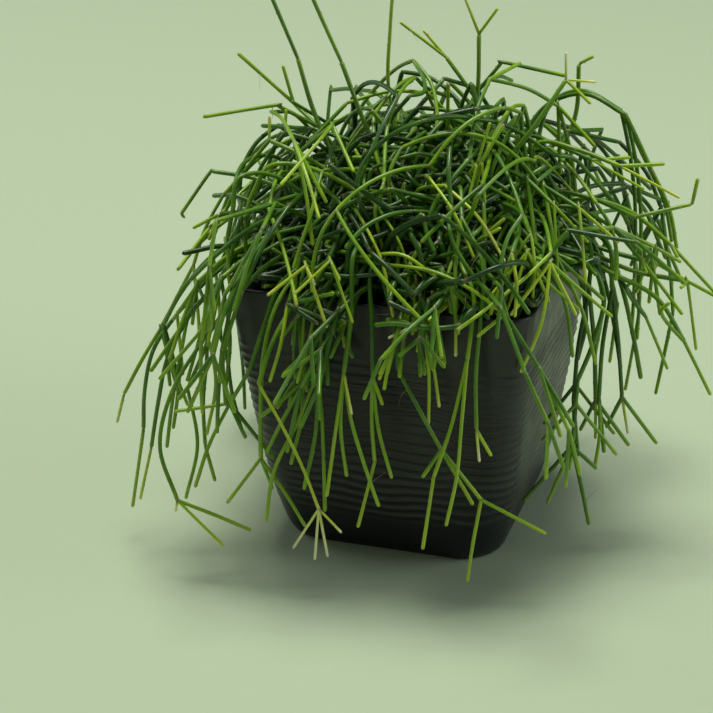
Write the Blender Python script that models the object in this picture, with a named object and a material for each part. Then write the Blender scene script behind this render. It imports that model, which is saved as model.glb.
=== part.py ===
"""A mistletoe cactus in a square ribbed pot, at its real size, in metres, +Z up.

The origin is the middle of the pot's underside. The pot's ribbed front faces -Y.
The cactus is a crowd of rooted cuttings. Each cutting is one spray: a jointed chain of round
stems that forks at its joints, stands in its own hole in the soil and trails over the rim.
Sprays that the photograph shows follow it; the others grow by a seeded rule. All of them are
then moved apart, so that no stem runs through another, the pot or the ground.
"""

import math
from collections import namedtuple

import bmesh
import bpy
import numpy as np

MM = 0.001

# The pot: a square tub with round corners whose sides bow out as they rise.
POT_HEIGHT = 142 * MM
RIM_HALF_WIDTH = 75 * MM
BASE_HALF_WIDTH = 53.5 * MM
RIM_CORNER = 13.4 * MM
BASE_CORNER = 21 * MM
SIDE_BOW = 0.63
WALL = 2.4 * MM
FLOOR = 4 * MM
RIM_ROUND = 0.6 * MM

# The wavy ribs that run round the middle of its sides.
RIB_PITCH = 4.8 * MM
RIB_DEPTH = 0.9 * MM
RIBS_LOW = 18 * MM
RIB_COUNT = 20
RIB_WAVE = 1.1 * MM
RIB_WAVES_ROUND = 8
RIB_DRIFT = 0.55

POT_CORNER_STEPS = 3
POT_SIDE_STEPS = 2

# The soil, a little below the rim and mounded towards its middle.
GAP = 0.3 * MM
SOIL_EDGE = 129 * MM
SOIL_MOUND = 4 * MM

# Roots: each spray stands in a hole of its own.
ROOT_DEPTH = 9 * MM
ROOT_LEAD = 4 * MM
HOLE_GAP = 0.5 * MM
HOLE_SIDES = 5
ROOT_SPOTS = 150
GOLDEN_ANGLE = math.pi * (3 - math.sqrt(5))

# Stems
OLD_RADIUS = 1.5 * MM
YOUNG_RADIUS = 0.8 * MM
STEM_SIDES = 4
STEM_STEP = 25 * MM
STEM_GAP = 0.45 * MM
CLEARANCE = 0.6 * MM
SETTLE_ROUNDS = 220
SINK = 1.3 * MM

# The eye that the photograph was taken from: pixels per radian, and the pixel where the middle
# of the pot is seen. A stem's passing points are pixels, with millimetres towards that eye.
EYE_TURN = math.radians(16.4)
EYE_LIFT = math.radians(26.1)
EYE_DISTANCE = 1312 * MM
EYE_AIM = np.array([0, 0, 71 * MM])
EYE_PIXELS = 2619
AIM_PIXEL = (416.8, 374.7)
EYE_RIGHT = np.array([math.cos(EYE_TURN), math.sin(EYE_TURN), 0])
EYE_NEAR = np.array([math.sin(EYE_TURN), -math.cos(EYE_TURN), 0])
EYE_BACK = EYE_NEAR * math.cos(EYE_LIFT) + np.array([0, 0, math.sin(EYE_LIFT)])
EYE_UP = np.array([0, 0, math.cos(EYE_LIFT)]) - EYE_NEAR * math.sin(EYE_LIFT)

# One stem of a spray: the stem it grows from (None is the root), how young it is from 0 to 1,
# and its passing points (pixel across, pixel down, millimetres nearer than the pot's middle).
Run = namedtuple("Run", "after age via")

SEEN_SPRAYS = {
    "left_outer": [
        Run(None, 0.35, ((262, 228, 6), (210, 257, 12), (176, 300, 18), (161, 328, 20))),
        Run(0, 0.45, ((143, 358, 22), (124, 394, 24))),
        Run(1, 0.85, ((117, 423, 25),)),
        Run(0, 0.4, ((170, 360, 24), (179, 394, 27))),
    ],
    "left_second": [
        Run(None, 0.3, ((268, 246, 18), (214, 280, 24), (178, 319, 28))),
        Run(0, 0.35, ((160, 342, 30), (147, 380, 32), (144, 434, 34))),
        Run(1, 0.6, ((139, 470, 36), (133, 512, 38))),
        Run(0, 0.7, ((190, 350, 34), (184, 381, 36))),
    ],
    "left_third": [
        Run(None, 0.3, ((270, 290, 40), (232, 340, 44), (195, 384, 46))),
        Run(0, 0.35, ((169, 428, 48), (154, 508, 50))),
        Run(1, 0.85, ((149, 532, 51), (143, 558, 52))),
        Run(0, 0.4, ((172, 420, 50), (153, 444, 52))),
    ],
    "ground_loop": [
        Run(None, 0.25, ((276, 310, 52), (238, 362, 58), (205, 396, 62))),
        Run(0, 0.35, ((176, 437, 66), (163, 472, 70), (166, 507, 74), (180, 536, 77))),
        Run(1, 0.5, ((215, 548, 76), (253, 563, 70))),
        Run(1, 0.75, ((196, 560, 80), (226, 581, 82))),
        Run(1, 0.97, ((178, 547, 80),)),
    ],
    "left_curtain": [
        Run(None, 0.3, ((262, 262, 30), (240, 292, 36), (222, 330, 42))),
        Run(0, 0.4, ((214, 370, 46), (203, 416, 48), (189, 438, 50))),
        Run(0, 0.4, ((230, 372, 44), (231, 430, 46), (226, 446, 46))),
        Run(1, 0.55, ((202, 470, 54), (192, 520, 56), (187, 546, 58))),
    ],
    "left_cascade": [
        Run(None, 0.3, ((258, 240, 22), (224, 272, 28), (206, 310, 32))),
        Run(0, 0.5, ((196, 345, 34), (185, 382, 36))),
        Run(0, 0.4, ((206, 350, 36), (202, 400, 38), (204, 446, 40))),
        Run(0, 0.4, ((224, 350, 36), (230, 390, 38), (240, 430, 40))),
        Run(2, 0.5, ((214, 482, 44),)),
    ],
    "left_long_edge": [
        Run(None, 0.4, ((264, 214, 34), (250, 238, 40), (244, 292, 46), (239, 340, 48))),
        Run(0, 0.5, ((236, 370, 48), (241, 394, 50))),
    ],
    "left_star": [
        Run(None, 0.3, ((282, 306, 60), (268, 350, 66), (253, 388, 68))),
        Run(0, 0.35, ((240, 404, 66), (232, 419, 64))),
        Run(1, 0.6, ((205, 419, 66), (176, 427, 68))),
        Run(1, 0.35, ((240, 437, 66), (248, 454, 66))),
        Run(1, 0.5, ((216, 450, 66), (202, 480, 68), (197, 502, 68))),
        Run(1, 0.35, ((245, 432, 70), (262, 455, 74), (276, 474, 76))),
    ],
    "left_fork": [
        Run(None, 0.4, ((272, 322, 70), (259, 384, 78), (259, 430, 80), (259, 467, 80))),
        Run(0, 0.6, ((243, 490, 82), (225, 512, 84))),
        Run(0, 0.55, ((265, 482, 82), (271, 498, 82))),
        Run(0, 0.6, ((280, 496, 84), (304, 535, 88))),
    ],
    "front_pale_tips": [
        Run(None, 0.35, ((300, 300, 68), (281, 318, 74), (272, 348, 80), (259, 384, 84))),
        Run(0, 0.75, ((275, 412, 88), (300, 461, 92), (319, 509, 95))),
        Run(1, 1.0, ((306, 528, 96), (293, 549, 97))),
        Run(1, 1.0, ((319, 535, 98), (315, 560, 99))),
        Run(1, 1.0, ((325, 530, 95), (328, 557, 95))),
        Run(1, 1.0, ((333, 517, 96), (342, 533, 97))),
    ],
    "front_left_short": [
        Run(None, 0.15, ((322, 262, 58), (314, 270, 66))),
        Run(0, 0.4, ((305, 266, 74),)),
        Run(1, 0.8, ((288, 277, 78), (266, 296, 80))),
        Run(1, 0.8, ((309, 274, 78), (314, 285, 80))),
        Run(1, 0.7, ((312, 300, 82), (326, 328, 85))),
        Run(0, 0.1, ((300, 296, 70), (287, 304, 72))),
        Run(5, 0.1, ((305, 308, 78), (322, 318, 82))),
        Run(5, 0.1, ((300, 316, 78), (318, 324, 84))),
        Run(5, 0.55, ((280, 345, 80), (269, 382, 82))),
    ],
    "front_tall_hang": [
        Run(None, 0.3, ((352, 250, 66), (355, 300, 76), (346, 340, 82), (343, 378, 84))),
        Run(0, 0.6, ((341, 406, 88), (331, 457, 90), (326, 501, 92))),
        Run(0, 0.5, ((337, 400, 84), (341, 440, 86), (346, 481, 86))),
        Run(0, 0.5, ((352, 432, 84), (367, 478, 87), (378, 510, 88))),
        Run(0, 0.95, ((351, 420, 92),)),
    ],
    "front_left_bunch": [
        Run(None, 0.3, ((332, 290, 70), (322, 340, 78), (318, 372, 80))),
        Run(0, 0.5, ((307, 400, 82), (290, 440, 84), (268, 486, 86), (266, 522, 88))),
        Run(0, 0.4, ((318, 410, 84), (313, 450, 86), (304, 490, 88))),
        Run(0, 0.5, ((322, 420, 82), (324, 470, 84), (325, 512, 86))),
        Run(0, 0.3, ((300, 392, 80), (268, 410, 82), (261, 417, 84))),
    ],
    "front_middle_hang": [
        Run(None, 0.3, ((372, 262, 66), (372, 320, 78), (373, 380, 82))),
        Run(0, 0.4, ((372, 426, 84), (375, 464, 85))),
        Run(1, 0.65, ((368, 500, 88), (358, 530, 90))),
        Run(0, 0.5, ((380, 440, 84), (392, 481, 86))),
        Run(0, 0.5, ((380, 392, 86), (383, 408, 87))),
    ],
    "front_right_hang": [
        Run(None, 0.3, ((384, 300, 70), (396, 352, 80), (401, 396, 84))),
        Run(0, 0.35, ((420, 428, 90), (444, 467, 94))),
        Run(1, 0.5, ((435, 480, 96), (425, 495, 98))),
        Run(1, 0.45, ((461, 489, 97), (484, 515, 100))),
        Run(3, 0.6, ((515, 528, 100), (549, 549, 102))),
        Run(3, 0.6, ((478, 545, 103), (470, 596, 105))),
        Run(1, 0.5, ((465, 505, 100), (476, 522, 101))),
    ],
    "front_lowest": [
        Run(None, 0.4, ((452, 290, 70), (470, 340, 80), (474, 392, 86), (468, 433, 90))),
        Run(0, 0.5, ((455, 480, 96), (435, 536, 102))),
        Run(1, 0.6, ((432, 570, 105), (424, 606, 108))),
        Run(0, 0.6, ((462, 490, 98), (457, 540, 102), (447, 583, 104))),
    ],
    "front_yellow_fork": [
        Run(None, 0.4, ((446, 280, 72), (439, 300, 80), (427, 331, 86))),
        Run(0, 0.95, ((410, 340, 90), (392, 348, 92))),
        Run(0, 0.95, ((434, 338, 90), (441, 341, 92))),
        Run(0, 0.75, ((431, 360, 88), (433, 400, 90), (432, 434, 91))),
        Run(0, 0.75, ((436, 370, 86), (443, 417, 88))),
        Run(0, 0.6, ((424, 350, 84), (421, 362, 85))),
    ],
    "front_diagonal": [
        Run(None, 0.3, ((350, 262, 58), (367, 273, 66), (392, 275, 72))),
        Run(0, 0.6, ((430, 287, 80), (461, 304, 86), (505, 345, 90))),
        Run(1, 0.6, ((497, 360, 91), (478, 369, 92))),
    ],
    "front_pale_finger": [
        Run(None, 0.4, ((340, 192, 44), (360, 214, 54))),
        Run(0, 0.8, ((377, 241, 66), (388, 280, 76), (395, 317, 82))),
    ],
    "front_grey_drop": [
        Run(None, 0.2, ((470, 176, 20), (441, 203, 36), (434, 236, 48), (421, 278, 58))),
        Run(0, 0.3, ((420, 300, 64), (416, 320, 70))),
    ],
    "front_plumb": [
        Run(None, 0.3, ((462, 196, 44), (462, 236, 60))),
        Run(0, 0.35, ((454, 300, 80), (456, 330, 86))),
        Run(1, 0.7, ((457, 352, 88), (456, 374, 90))),
        Run(0, 0.35, ((484, 300, 80), (477, 380, 88), (477, 458, 92))),
        Run(3, 0.95, ((480, 474, 93), (480, 490, 94))),
        Run(3, 0.6, ((486, 474, 90), (492, 484, 90))),
    ],
    "front_bow": [
        Run(None, 0.35, ((505, 214, 30), (476, 250, 48), (459, 272, 62))),
        Run(0, 0.4, ((450, 305, 76), (440, 332, 82), (436, 366, 85))),
        Run(0, 0.5, ((476, 258, 62), (505, 246, 60))),
    ],
    "right_shoulder": [
        Run(None, 0.3, ((520, 170, 16), (544, 186, 30))),
        Run(0, 0.35, ((560, 194, 40), (579, 208, 46))),
        Run(1, 0.8, ((584, 241, 56), (586, 284, 62))),
        Run(1, 0.75, ((600, 222, 44), (619, 243, 46))),
        Run(0, 0.4, ((552, 220, 44), (556, 256, 52))),
        Run(4, 0.5, ((570, 282, 56), (586, 322, 60), (596, 365, 63))),
        Run(4, 0.4, ((574, 268, 48), (604, 300, 50))),
    ],
    "front_bright_arc": [
        Run(None, 0.5, ((420, 180, 40), (444, 189, 46))),
        Run(0, 0.75, ((476, 220, 60), (491, 240, 66), (504, 266, 70))),
    ],
    "right_front_fork": [
        Run(None, 0.4, ((500, 276, 52), (523, 292, 66), (547, 312, 72))),
        Run(0, 0.75, ((530, 340, 82), (508, 370, 86))),
        Run(0, 0.7, ((562, 338, 76), (573, 364, 78))),
        Run(0, 0.6, ((566, 327, 68), (587, 348, 68), (609, 365, 68))),
        Run(0, 0.7, ((546, 345, 80), (532, 380, 82), (515, 419, 84))),
    ],
    "right_front_drop": [
        Run(None, 0.3, ((515, 262, 50), (515, 296, 66), (509, 336, 80))),
        Run(0, 0.7, ((513, 371, 86), (511, 417, 87))),
        Run(0, 0.5, ((498, 386, 84), (487, 419, 86))),
    ],
    "right_hang_fork": [
        Run(None, 0.25, ((590, 260, 36), (604, 300, 42), (590, 352, 46), (578, 380, 46))),
        Run(0, 0.4, ((577, 392, 46), (576, 404, 46))),
        Run(1, 0.45, ((558, 418, 48), (542, 441, 50))),
        Run(1, 0.45, ((596, 422, 48), (617, 455, 50))),
        Run(1, 0.35, ((574, 425, 46), (572, 446, 46))),
        Run(4, 0.3, ((548, 468, 48), (523, 501, 50))),
        Run(4, 0.5, ((560, 475, 50), (547, 504, 52))),
        Run(4, 0.35, ((580, 480, 46), (589, 525, 46))),
        Run(4, 0.35, ((584, 455, 46), (597, 469, 48))),
    ],
    "right_hang_long": [
        Run(None, 0.25, ((602, 232, 20), (612, 290, 30))),
        Run(0, 0.25, ((602, 350, 36), (599, 398, 38))),
        Run(1, 0.5, ((600, 430, 38), (595, 467, 38))),
        Run(1, 0.3, ((606, 425, 36), (604, 453, 36))),
        Run(0, 0.25, ((618, 340, 26), (622, 397, 28))),
        Run(4, 0.4, ((640, 415, 28), (657, 444, 28))),
        Run(4, 0.3, ((612, 410, 32), (606, 428, 33))),
        Run(4, 0.85, ((626, 418, 28), (628, 434, 28))),
    ],
    "right_straight_drop": [
        Run(None, 0.3, ((600, 236, 10), (619, 278, 20), (632, 330, 24), (641, 379, 26))),
    ],
    "right_far": [
        Run(None, 0.35, ((590, 252, 20), (618, 270, 26), (645, 270, 28), (687, 281, 30))),
        Run(0, 0.6, ((713, 293, 31), (734, 306, 32))),
        Run(0, 0.75, ((692, 318, 32), (696, 350, 33))),
        Run(0, 0.5, ((665, 282, 34), (680, 288, 36))),
    ],
    "right_farther": [
        Run(None, 0.4, ((604, 200, 0), (642, 220, 8), (671, 245, 12))),
        Run(0, 0.6, ((694, 270, 15), (718, 296, 18))),
        Run(0, 0.6, ((678, 258, 15),)),
    ],
    "right_low_far": [
        Run(None, 0.3, ((596, 268, 26), (630, 279, 36), (661, 302, 40), (685, 342, 42))),
        Run(0, 0.55, ((699, 364, 43), (711, 395, 44))),
        Run(0, 0.45, ((652, 300, 46), (670, 302, 48))),
    ],
    "right_high_curve": [
        Run(None, 0.35, ((570, 190, 10), (604, 206, 16), (635, 217, 20))),
        Run(0, 0.4, ((665, 215, 20), (692, 204, 18))),
        Run(1, 0.5, ((695, 192, 18), (698, 178, 17))),
    ],
    "right_big_arch": [
        Run(None, 0.3, ((540, 112, -40), (570, 95, -34), (600, 97, -26), (626, 115, -18))),
        Run(0, 0.35, ((645, 144, -10), (652, 170, -6))),
        Run(1, 0.45, ((667, 200, -2), (677, 249, 2))),
        Run(0, 0.35, ((634, 150, -16), (640, 196, -12), (641, 250, -8))),
        Run(3, 0.45, ((640, 290, -6), (637, 340, -4))),
    ],
    "right_yellow_point": [
        Run(None, 0.4, ((552, 134, 6), (580, 152, 14), (620, 166, 22))),
        Run(0, 0.9, ((650, 178, 26), (680, 198, 30))),
        Run(0, 0.5, ((640, 164, 20), (665, 164, 20))),
    ],
    "top_right_spark": [
        Run(None, 0.35, ((514, 154, 16), (540, 118, 10), (566, 80, 2))),
        Run(0, 0.97, ((566, 66, 0), (566, 52, -1))),
        Run(0, 1.0, ((582, 79, 0), (597, 82, 0))),
        Run(0, 0.7, ((578, 90, 6), (591, 104, 10))),
    ],
    "top_right_back": [
        Run(None, 0.3, ((566, 150, -50), (574, 128, -52), (579, 64, -56))),
        Run(0, 0.6, ((586, 62, -56), (594, 56, -56))),
    ],
    "top_arch": [
        Run(None, 0.3, ((466, 130, -36), (474, 96, -40))),
        Run(0, 0.35, ((484, 74, -40), (502, 62, -40))),
        Run(1, 0.45, ((524, 58, -40), (548, 62, -40), (566, 76, -38))),
        Run(0, 0.4, ((464, 74, -46), (446, 57, -48))),
        Run(3, 0.75, ((424, 40, -46), (400, 22, -44))),
        Run(3, 0.8, ((438, 42, -48), (423, 30, -48))),
    ],
    "top_y": [
        Run(None, 0.4, ((476, 120, -20), (478, 80, -22), (479, 34, -24))),
        Run(0, 0.8, ((466, 18, -25), (462, -10, -26))),
        Run(0, 0.75, ((490, 20, -23), (498, 8, -22))),
    ],
    "top_plume": [
        Run(None, 0.7, ((393, 110, -26), (387, 70, -26), (391, 20, -26), (394, -24, -26))),
    ],
    "top_left_tall": [
        Run(None, 0.35, ((350, 190, 0), (318, 122, -10), (298, 58, -16))),
        Run(0, 0.4, ((281, 18, -18), (262, -26, -20))),
    ],
    "top_left_tall_near": [
        Run(None, 0.35, ((392, 190, 12), (364, 122, 4), (341, 61, -2))),
        Run(0, 0.4, ((325, 26, -4), (304, -22, -6))),
    ],
    "left_high": [
        Run(None, 0.3, ((336, 150, -16), (318, 128, -20))),
        Run(0, 0.35, ((300, 112, -14), (276, 106, -16))),
        Run(1, 0.5, ((238, 108, -16), (202, 118, -16))),
        Run(0, 0.35, ((293, 104, -34),)),
        Run(3, 0.5, ((268, 78, -36), (237, 54, -38))),
        Run(3, 0.6, ((300, 80, -36), (282, 66, -37))),
    ],
    "left_elbow": [
        Run(None, 0.35, ((300, 196, 0), (263, 181, -4), (237, 173, -6), (211, 171, -6))),
        Run(0, 0.5, ((196, 192, -4), (181, 214, -2))),
        Run(1, 0.8, ((185, 218, -2),)),
    ],
    "left_pointer": [
        Run(None, 0.2, ((310, 212, 12), (272, 210, 10), (221, 214, 6))),
        Run(0, 0.6, ((208, 221, 6), (194, 228, 6))),
        Run(0, 0.6, ((214, 226, 8), (210, 240, 10))),
    ],
    "left_brow": [
        Run(None, 0.35, ((330, 176, 10), (296, 148, 4), (270, 140, 0))),
        Run(0, 0.4, ((248, 168, 0), (229, 196, 0), (224, 216, 2))),
        Run(0, 0.8, ((286, 120, -2), (270, 116, -4))),
    ],
    "middle_yellow_hook": [
        Run(None, 0.6, ((470, 240, 30), (470, 195, 34), (482, 162, 38))),
        Run(0, 0.9, ((502, 150, 38), (510, 138, 38), (504, 124, 36))),
        Run(0, 0.8, ((486, 180, 42), (485, 204, 46))),
    ],
}

# Sprays that the photograph hides, on the far side: one joint after another by the seeded rule.
FAR_SPRAYS = 11
FAR_SEED = 7
FAR_ARC = (math.radians(12), math.radians(228))
TRIES = 30
STEEP = (1.15, 1.5)
FLAT = (0.7, 1.1)
FARTHEST = 150 * MM

# Corners of the plant's outline in the photograph, in pixels. What grows by rule stays inside it.
PLANT_OUTLINE = (
    (150, 400), (152, 330), (182, 262), (212, 205), (226, 150), (258, 96), (312, 62), (392, 48),
    (470, 46), (560, 52), (612, 84), (642, 132), (668, 190), (700, 262), (716, 340), (668, 440),
    (612, 520), (560, 562), (190, 560), (138, 490),
)


def seen(across, down, near):
    """The point where the sight line of a pixel meets the upright plane that lies near mm towards the eye."""
    eye = EYE_AIM + EYE_DISTANCE * EYE_BACK
    ray = (
        -EYE_PIXELS * EYE_BACK
        + (across - AIM_PIXEL[0]) * EYE_RIGHT
        - (down - AIM_PIXEL[1]) * EYE_UP
    )
    reach = (near * MM - (eye - EYE_AIM) @ EYE_NEAR) / (ray @ EYE_NEAR)
    return eye + reach * ray


def half_width(z):
    """Half the pot's outer width at a height."""
    share = np.clip(z / POT_HEIGHT, 0, 1) ** SIDE_BOW
    return BASE_HALF_WIDTH + (RIM_HALF_WIDTH - BASE_HALF_WIDTH) * share


def corner_radius(z):
    """The pot's corner radius at a height."""
    return BASE_CORNER + (RIM_CORNER - BASE_CORNER) * np.clip(z / POT_HEIGHT, 0, 1)


def soil_top(x, y):
    """Height of the soil's mounded surface."""
    out = np.maximum(np.abs(x), np.abs(y)) / (RIM_HALF_WIDTH - WALL)
    return SOIL_EDGE + SOIL_MOUND * (1 - np.clip(out, 0, 1) ** 2)


def outside_by(x, y, half, corner):
    """Distance outside a square of that half width with round corners, negative inside it."""
    ax, ay = np.abs(x) - (half - corner), np.abs(y) - (half - corner)
    out = np.hypot(np.maximum(ax, 0), np.maximum(ay, 0))
    return out + np.minimum(np.maximum(ax, ay), 0) - corner


# Routes


def smooth_route(points, step):
    """A Catmull-Rom curve through the points, cut into nearly equal steps."""
    points = np.array(points, float)
    if len(points) > 2:
        padded = np.vstack([2 * points[0] - points[1], points, 2 * points[-1] - points[-2]])
        a, b, c, d = padded[:-3], padded[1:-2], padded[2:-1], padded[3:]
        t = np.linspace(0, 1, 9)[:-1, None, None]
        curve = 0.5 * (
            2 * b + (c - a) * t + (2 * a - 5 * b + 4 * c - d) * t**2 + (3 * b - a - 3 * c + d) * t**3
        )
        points = np.vstack([curve.transpose(1, 0, 2).reshape(-1, 3), points[-1:]])
    along = np.concatenate([[0], np.cumsum(np.linalg.norm(np.diff(points, axis=0), axis=1))])
    count = max(1, round(along[-1] / step))
    marks = np.linspace(0, along[-1], count + 1)
    return np.stack([np.interp(marks, along, points[:, k]) for k in range(3)], axis=1)


def root_spots():
    """Places for roots on the soil, in a sunflower pattern squared up to fill the pot."""
    index = np.arange(ROOT_SPOTS) + 0.5
    turn = index * GOLDEN_ANGLE
    reach = np.sqrt(index / ROOT_SPOTS) * (RIM_HALF_WIDTH - WALL - 9 * MM)
    square = 1 / np.maximum(np.abs(np.cos(turn)), np.abs(np.sin(turn)))
    reach = reach * (1 + 0.55 * (square - 1))
    return np.stack([reach * np.cos(turn), reach * np.sin(turn)], axis=1)


def take_spot(spots, taken, wanted):
    """The free root spot nearest to a place."""
    away = np.linalg.norm(spots - wanted, axis=1)
    away[taken] = np.inf
    best = int(np.argmin(away))
    taken.append(best)
    return spots[best]


def radius_of(age, near_root=False):
    """Older stems are thicker."""
    radius = OLD_RADIUS + (YOUNG_RADIUS - OLD_RADIUS) * age
    return radius * (1.12 if near_root else 1)


def root_start(spot, lean):
    """The three points that lead a stem straight out of its hole, leaning one way."""
    surface = np.array([spot[0], spot[1], soil_top(spot[0], spot[1])])
    up = np.array([lean[0], lean[1], 1.0])
    up /= np.linalg.norm(up)
    return [surface - ROOT_DEPTH * up, surface, surface + ROOT_LEAD * up]


def seen_spray(name, spots, taken):
    """A spray that follows the photograph, as a list of (parent, points, radius, age)."""
    stems = []
    for run in SEEN_SPRAYS[name]:
        via = [seen(*place) for place in run.via]
        if run.after is None:
            spot = take_spot(spots, taken, 0.5 * via[0][:2])
            lean = np.clip((via[0][:2] - spot) / (60 * MM), -0.5, 0.5)
            start = root_start(spot, lean)
            rise = start[2] + 0.4 * (via[0] - start[2])
            rise[2] += 0.22 * np.linalg.norm(via[0][:2] - spot) + 3 * MM
            route = smooth_route([start[2], rise, *via], STEM_STEP)
            points = np.vstack([start[:2], route])
            stems.append((None, points, radius_of(run.age, True), run.age))
        else:
            start = stems[run.after][1][-1]
            stems.append(
                (run.after, smooth_route([start, *via], STEM_STEP), radius_of(run.age), run.age)
            )
    return stems


def bend_on(rng, start, way, length, droop, curl):
    """A stem's points from its start: it keeps its way, turned down by its weight and a little aside."""
    steps = 6
    points = [start]
    side = rng.normal(0, curl, 3)
    for _ in range(steps):
        way = way + (np.array([0, 0, -droop]) + side) / steps
        way = way / np.linalg.norm(way)
        points.append(points[-1] + way * length / steps)
    return np.array(points), way


def pixels_of(points):
    """Where the photograph shows points: pixels across and down."""
    away = points - EYE_AIM
    depth = EYE_DISTANCE - away @ EYE_BACK
    across = AIM_PIXEL[0] + EYE_PIXELS * (away @ EYE_RIGHT) / depth
    down = AIM_PIXEL[1] - EYE_PIXELS * (away @ EYE_UP) / depth
    return across, down


def count_outside(stems, outline=PLANT_OUTLINE):
    """How many of a spray's points lie outside an outline of the photograph, or too far out."""
    places = np.concatenate([points for _, points, _, _ in stems])
    across, down = pixels_of(places)
    inside = np.zeros(len(across), bool)
    for (x0, y0), (x1, y1) in zip(outline, (*outline[1:], outline[0])):
        if y0 != y1:
            level = (y0 > down) != (y1 > down)
            inside ^= level & (across < x0 + (down - y0) * (x1 - x0) / (y1 - y0))
    return int((~inside | (np.hypot(places[:, 0], places[:, 1]) > FARTHEST)).sum())


def without(stems, unwanted):
    """A spray without the arms that a test names, nor what those carry."""
    made, place_of = [], {}
    for number, stem in enumerate(stems):
        parent = stem[0]
        if parent is not None and (parent not in place_of or unwanted([stem])):
            continue
        place_of[number] = len(made)
        made.append((place_of.get(parent), *stem[1:]))
    return made


def best_of(grow, tries=TRIES):
    """The spray with the fewest points outside the outline, of several, less the arms still outside."""
    best, fewest = None, None
    for _ in range(tries):
        stems = grow()
        outside = count_outside(stems)
        if best is None or outside < fewest:
            best, fewest = stems, outside
        if outside == 0:
            break
    return without(best, count_outside)


def grown_spray(rng, turn, spot, lift, reach=1.0, arms=3):
    """A spray by the seeded rule: a first stem that arches out, then arms that fork at each joint."""
    turn = turn + rng.uniform(-0.15, 0.15)
    out = np.array([math.cos(turn), math.sin(turn)])
    start = root_start(spot, 0.35 * out)
    way = np.array([*(out * math.cos(lift)), math.sin(lift)])
    length = rng.uniform(62, 105) * MM * reach
    points, way = bend_on(rng, start[2], way, length, 0.9 + 0.5 * lift, 0.2)
    age = rng.uniform(0.12, 0.3)
    stems = [(None, np.vstack([start[:2], smooth_route(points, STEM_STEP)]), radius_of(age, True), age)]
    fronts = [(0, way, age)]
    for level in range(3):
        grown = []
        for parent, way, age in fronts:
            for _ in range(rng.integers(1, 4) if level else arms):
                new_way = way + rng.normal(0, 0.48, 3) - 0.2 * np.array([0, 0, level])
                new_way /= np.linalg.norm(new_way)
                length = rng.uniform(28, 58) * MM * reach
                begin = stems[parent][1][-1]
                points, end_way = bend_on(rng, begin, new_way, length, 0.8, 0.12)
                young = min(1.0, age + rng.uniform(0.03, 0.13))
                stems.append((parent, smooth_route(points, STEM_STEP), radius_of(young), young))
                grown.append((len(stems) - 1, end_way, young))
        fronts = [grown[k] for k in sorted(rng.permutation(len(grown))[:arms])]
    return stems


# Moving the stems apart


def closest(p, q, r, s):
    """Shares along p-q and r-s of their closest points, for arrays of edge pairs."""
    u, v, w = q - p, s - r, p - r
    a, b, c = (u * u).sum(1), (u * v).sum(1), (v * v).sum(1)
    d, e = (u * w).sum(1), (v * w).sum(1)
    flat = a * c - b * b
    first = np.where(flat > 1e-12 * a * c, (b * e - c * d) / np.where(flat == 0, 1, flat), 0.5)
    first = np.clip(first, 0, 1)
    second = np.clip((b * first + e) / c, 0, 1)
    first = np.clip((b * second - d) / a, 0, 1)
    return first, second


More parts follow.
